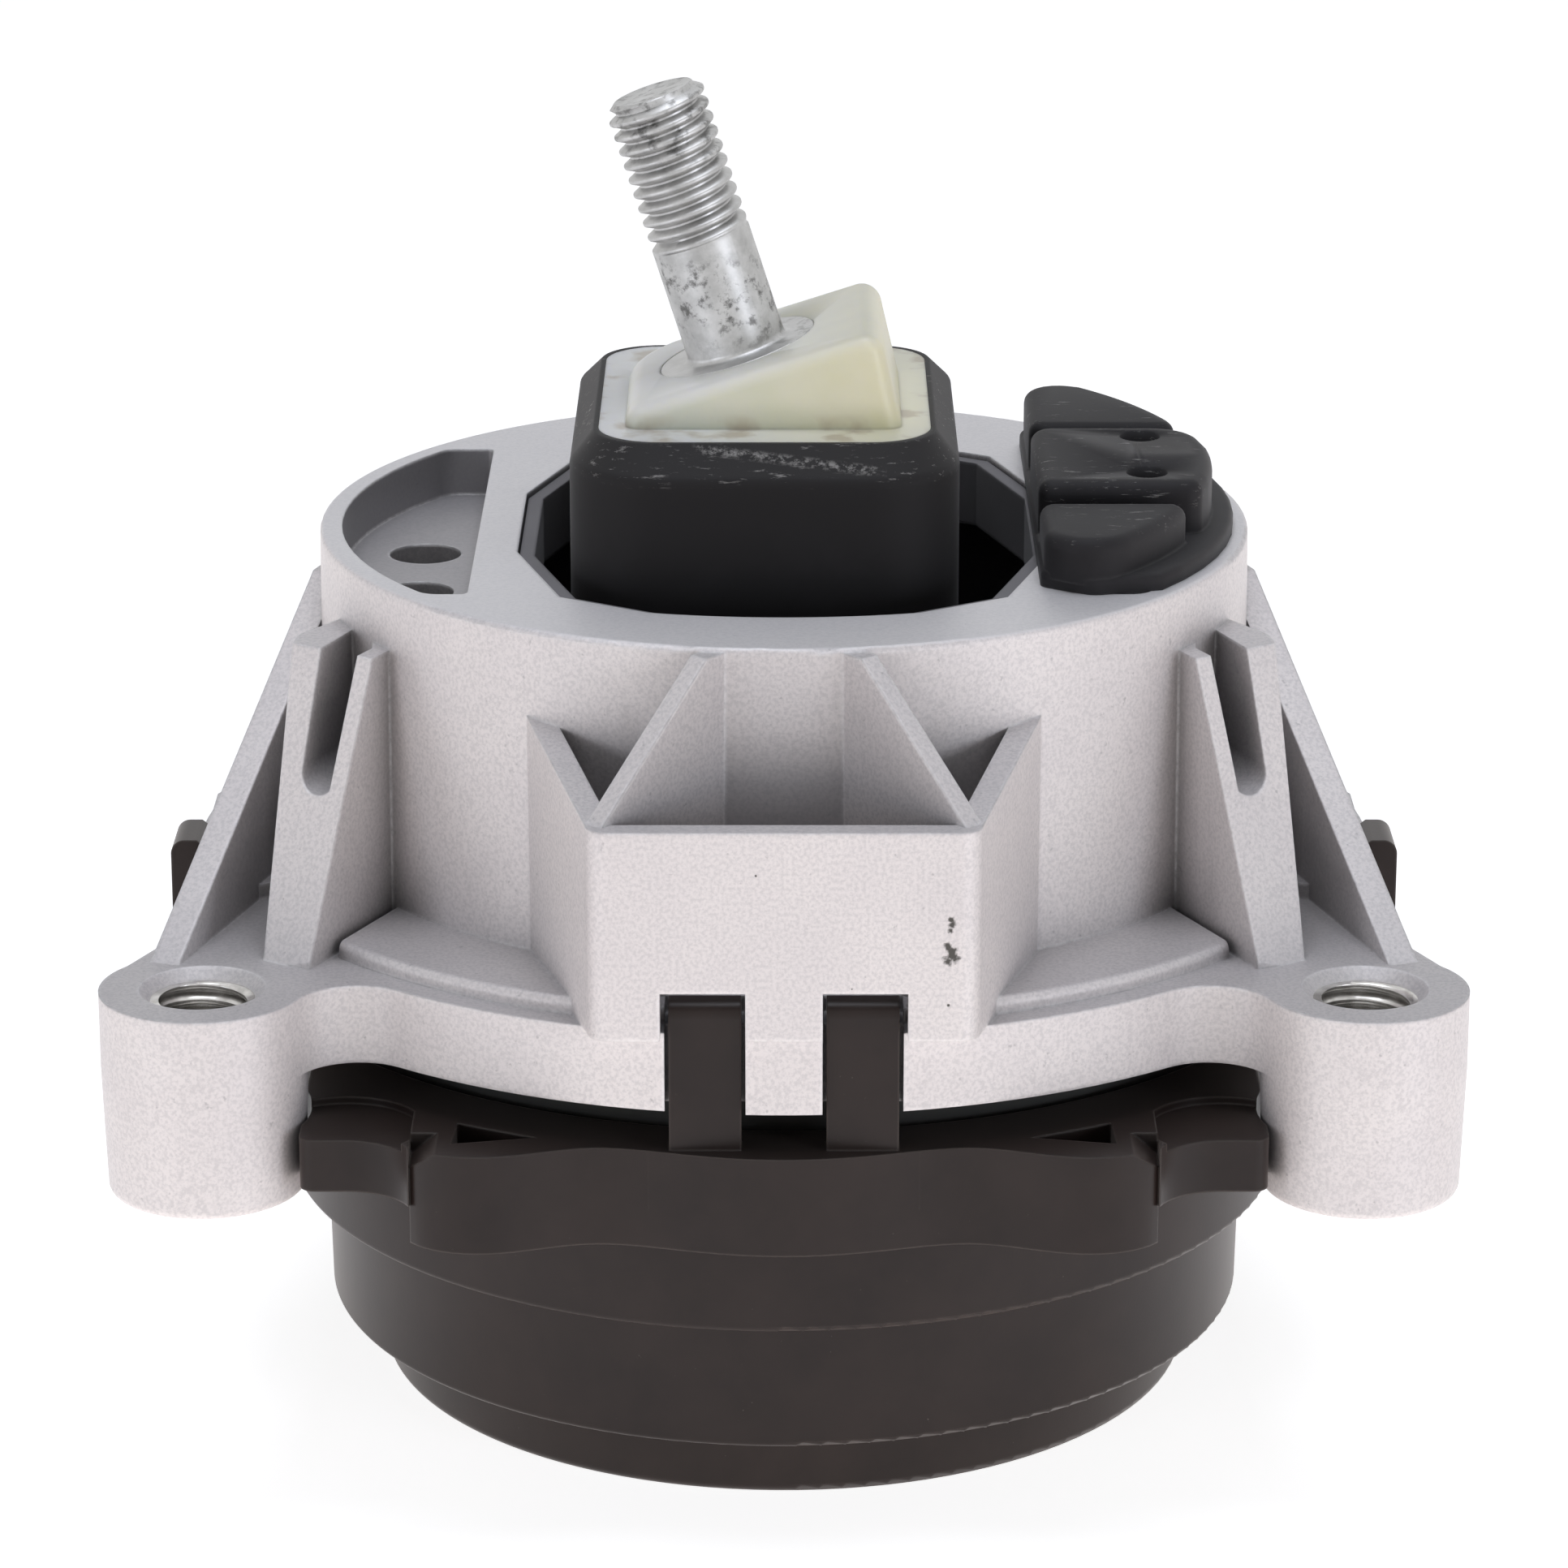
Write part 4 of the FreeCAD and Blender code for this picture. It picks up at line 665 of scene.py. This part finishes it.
def rubber_stop():
    mesh = merged_copy("side_buffer")
    bmesh.ops.bisect_plane(mesh, geom=mesh.verts[:] + mesh.edges[:] + mesh.faces[:],
                           dist=0.001 * MM, plane_co=(0, 0, (PLATE_Z - 0.01) * MM), plane_no=(0, 0, 1),
                           clear_outer=True)
    bmesh.ops.holes_fill(mesh, edges=[edge for edge in mesh.edges if edge.is_boundary])
    lip = rounded([(24.9, 30.6, 2.5), (24.9, -25.5, 1.5), (29.8, -28.6, 2.0)] + rim_arc(LIP_R, -36, 41)
                  + [(31.5, 31.0, 2.0)])
    raised(mesh, lip, PLATE_Z, PLATE_Z + LIP_T, LIP_ROLL)
    front = rounded([(STOP_SIDE_X, -13.6, 1.5), (STOP_SIDE_X, -33.6, 4.4)] + rim_arc(WALL_R, -38.5, -24)
                    + [(40.3, -13.6, 1.6)])
    middle = rounded([(STOP_SIDE_X, 10.2, 2.2), (STOP_SIDE_X, -12.2, 1.4), (41.1, -12.2, 1.8)]
                     + rim_arc(WALL_R + 0.6, -12, 4) + [(41.6, 10.2, 5.0)])
    back = rounded([(STOP_SIDE_X, 31.4, 3.6), (STOP_SIDE_X, 11.8, 1.8), (40.6, 11.8, 1.6)]
                   + rim_arc(WALL_R, 20, 42))
    raised(mesh, front, BLOCK_ROOT, FRONT_TOP, BLOCK_ROLL)
    raised(mesh, back, BLOCK_ROOT, BACK_TOP, BLOCK_ROLL)
    dimple(mesh, raised(mesh, middle, BLOCK_ROOT, MIDDLE_TOP, BLOCK_ROLL))
    return finish(mesh, "rubber_stop", stop_rubber, 30)


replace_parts(rubber_stop(), "side_buffer")

# %% [markdown]
# ## Light, floor and camera
# The mount stands on a glowing white table, as for a catalogue: most light comes from below and
# from the front, so upright faces are bright and hollows behind the bracket's plate stay dark.
# Weak soft boxes at the sides and above fill the rest. The camera stands 600 mm away and looks
# down by 18 degrees, the angle at which the round flange shows as the ellipse it is.

# %% Studio
AIM = Vector((0, 0, 60.3 * MM))
DISTANCE = 600 * MM
ELEVATION = math.radians(18.02)
PIXELS = 1932
FOCUS_PIXELS = 7200
SENSOR = 36
# Soft boxes: name, place, width, height and watts
LAMPS = (("left_box", (-0.85, -0.7, 0.15), 0.4, 0.28, 1.5),
         ("right_box", (0.85, -0.7, 0.15), 0.4, 0.28, 2.5),
         ("side_box", (-1.0, 0.0, 0.15), 0.4, 0.25, 0.5),
         ("top_box", (0, -0.05, 1.0), 0.6, 0.6, 4.0))


def camera():
    data = bpy.data.cameras.new("camera")
    data.sensor_width = SENSOR
    data.lens = SENSOR * FOCUS_PIXELS / PIXELS
    data.clip_start = 0.01
    found = bpy.data.objects.new("camera", data)
    found.location = AIM + DISTANCE * Vector((0, -math.cos(ELEVATION), math.sin(ELEVATION)))
    found.rotation_euler = (AIM - found.location).to_track_quat("-Z", "Y").to_euler()
    bpy.context.scene.collection.objects.link(found)
    bpy.context.scene.camera = found


def lamp(name, place, width, height, watts):
    data = bpy.data.lights.new(name, "AREA")
    data.shape = "RECTANGLE"
    data.size = width
    data.size_y = height
    data.energy = watts
    data.color = linear("f0f4ff")[:3]
    found = bpy.data.objects.new(name, data)
    found.location = place
    found.rotation_euler = (AIM - found.location).to_track_quat("-Z", "Y").to_euler()
    bpy.context.scene.collection.objects.link(found)


def looked_at(tree):
    """Mask of the rays that show a backdrop: from the camera, off metal or through glass."""
    ray = tree.nodes.new("ShaderNodeLightPath").outputs
    indirect = calc(tree, "MAXIMUM", ray["Is Glossy Ray"], ray["Is Transmission Ray"])
    return calc(tree, "MAXIMUM", ray["Is Camera Ray"], indirect)


def white_floor():
    """Glowing table under the mount; looked at directly or in a reflection it is plain white."""
    mesh = bmesh.new()
    bmesh.ops.create_grid(mesh, x_segments=1, y_segments=1, size=4.0)
    data = bpy.data.meshes.new("floor")
    mesh.to_mesh(data)
    mesh.free()
    floor = bpy.data.objects.new("floor", data)
    floor.location.z = -0.05 * MM
    bpy.context.scene.collection.objects.link(floor)
    material, tree, output, _ = blank("white_sheet")
    seen = looked_at(tree)
    paper = add(tree, "ShaderNodeBsdfDiffuse", {"Color": linear("f2f2f2")})
    table = add(tree, "ShaderNodeEmission", {"Color": linear("fff4ef"), "Strength": 1.5})
    sheet = add(tree, "ShaderNodeEmission", {"Color": (1, 1, 1, 1), "Strength": 0.86})
    lit = add(tree, "ShaderNodeAddShader", {0: paper.outputs[0], 1: table.outputs[0]})
    plain = add(tree, "ShaderNodeAddShader", {0: paper.outputs[0], 1: sheet.outputs[0]})
    mixed = add(tree, "ShaderNodeMixShader", {0: seen, 1: lit.outputs[0], 2: plain.outputs[0]})
    tree.links.new(mixed.outputs[0], output.inputs[0])
    data.materials.append(material)


def white_world():
    """Faint cool sky for soft light, plain white where it is looked at."""
    world = bpy.data.worlds.new("studio")
    world.use_nodes = True
    tree = world.node_tree
    tree.nodes.clear()
    seen = looked_at(tree)
    light = add(tree, "ShaderNodeBackground", {"Color": linear("e4e8f0"), "Strength": 0.04})
    white = add(tree, "ShaderNodeBackground", {"Color": (1, 1, 1, 1), "Strength": 1.0})
    mixed = add(tree, "ShaderNodeMixShader", {0: seen, 1: light.outputs[0], 2: white.outputs[0]})
    output = tree.nodes.new("ShaderNodeOutputWorld")
    tree.links.new(mixed.outputs[0], output.inputs[0])
    bpy.context.scene.world = world


camera()
white_world()
white_floor()
for settings in LAMPS:
    lamp(*settings)
bpy.context.scene.view_settings.view_transform = "Standard"
print("studio is set")
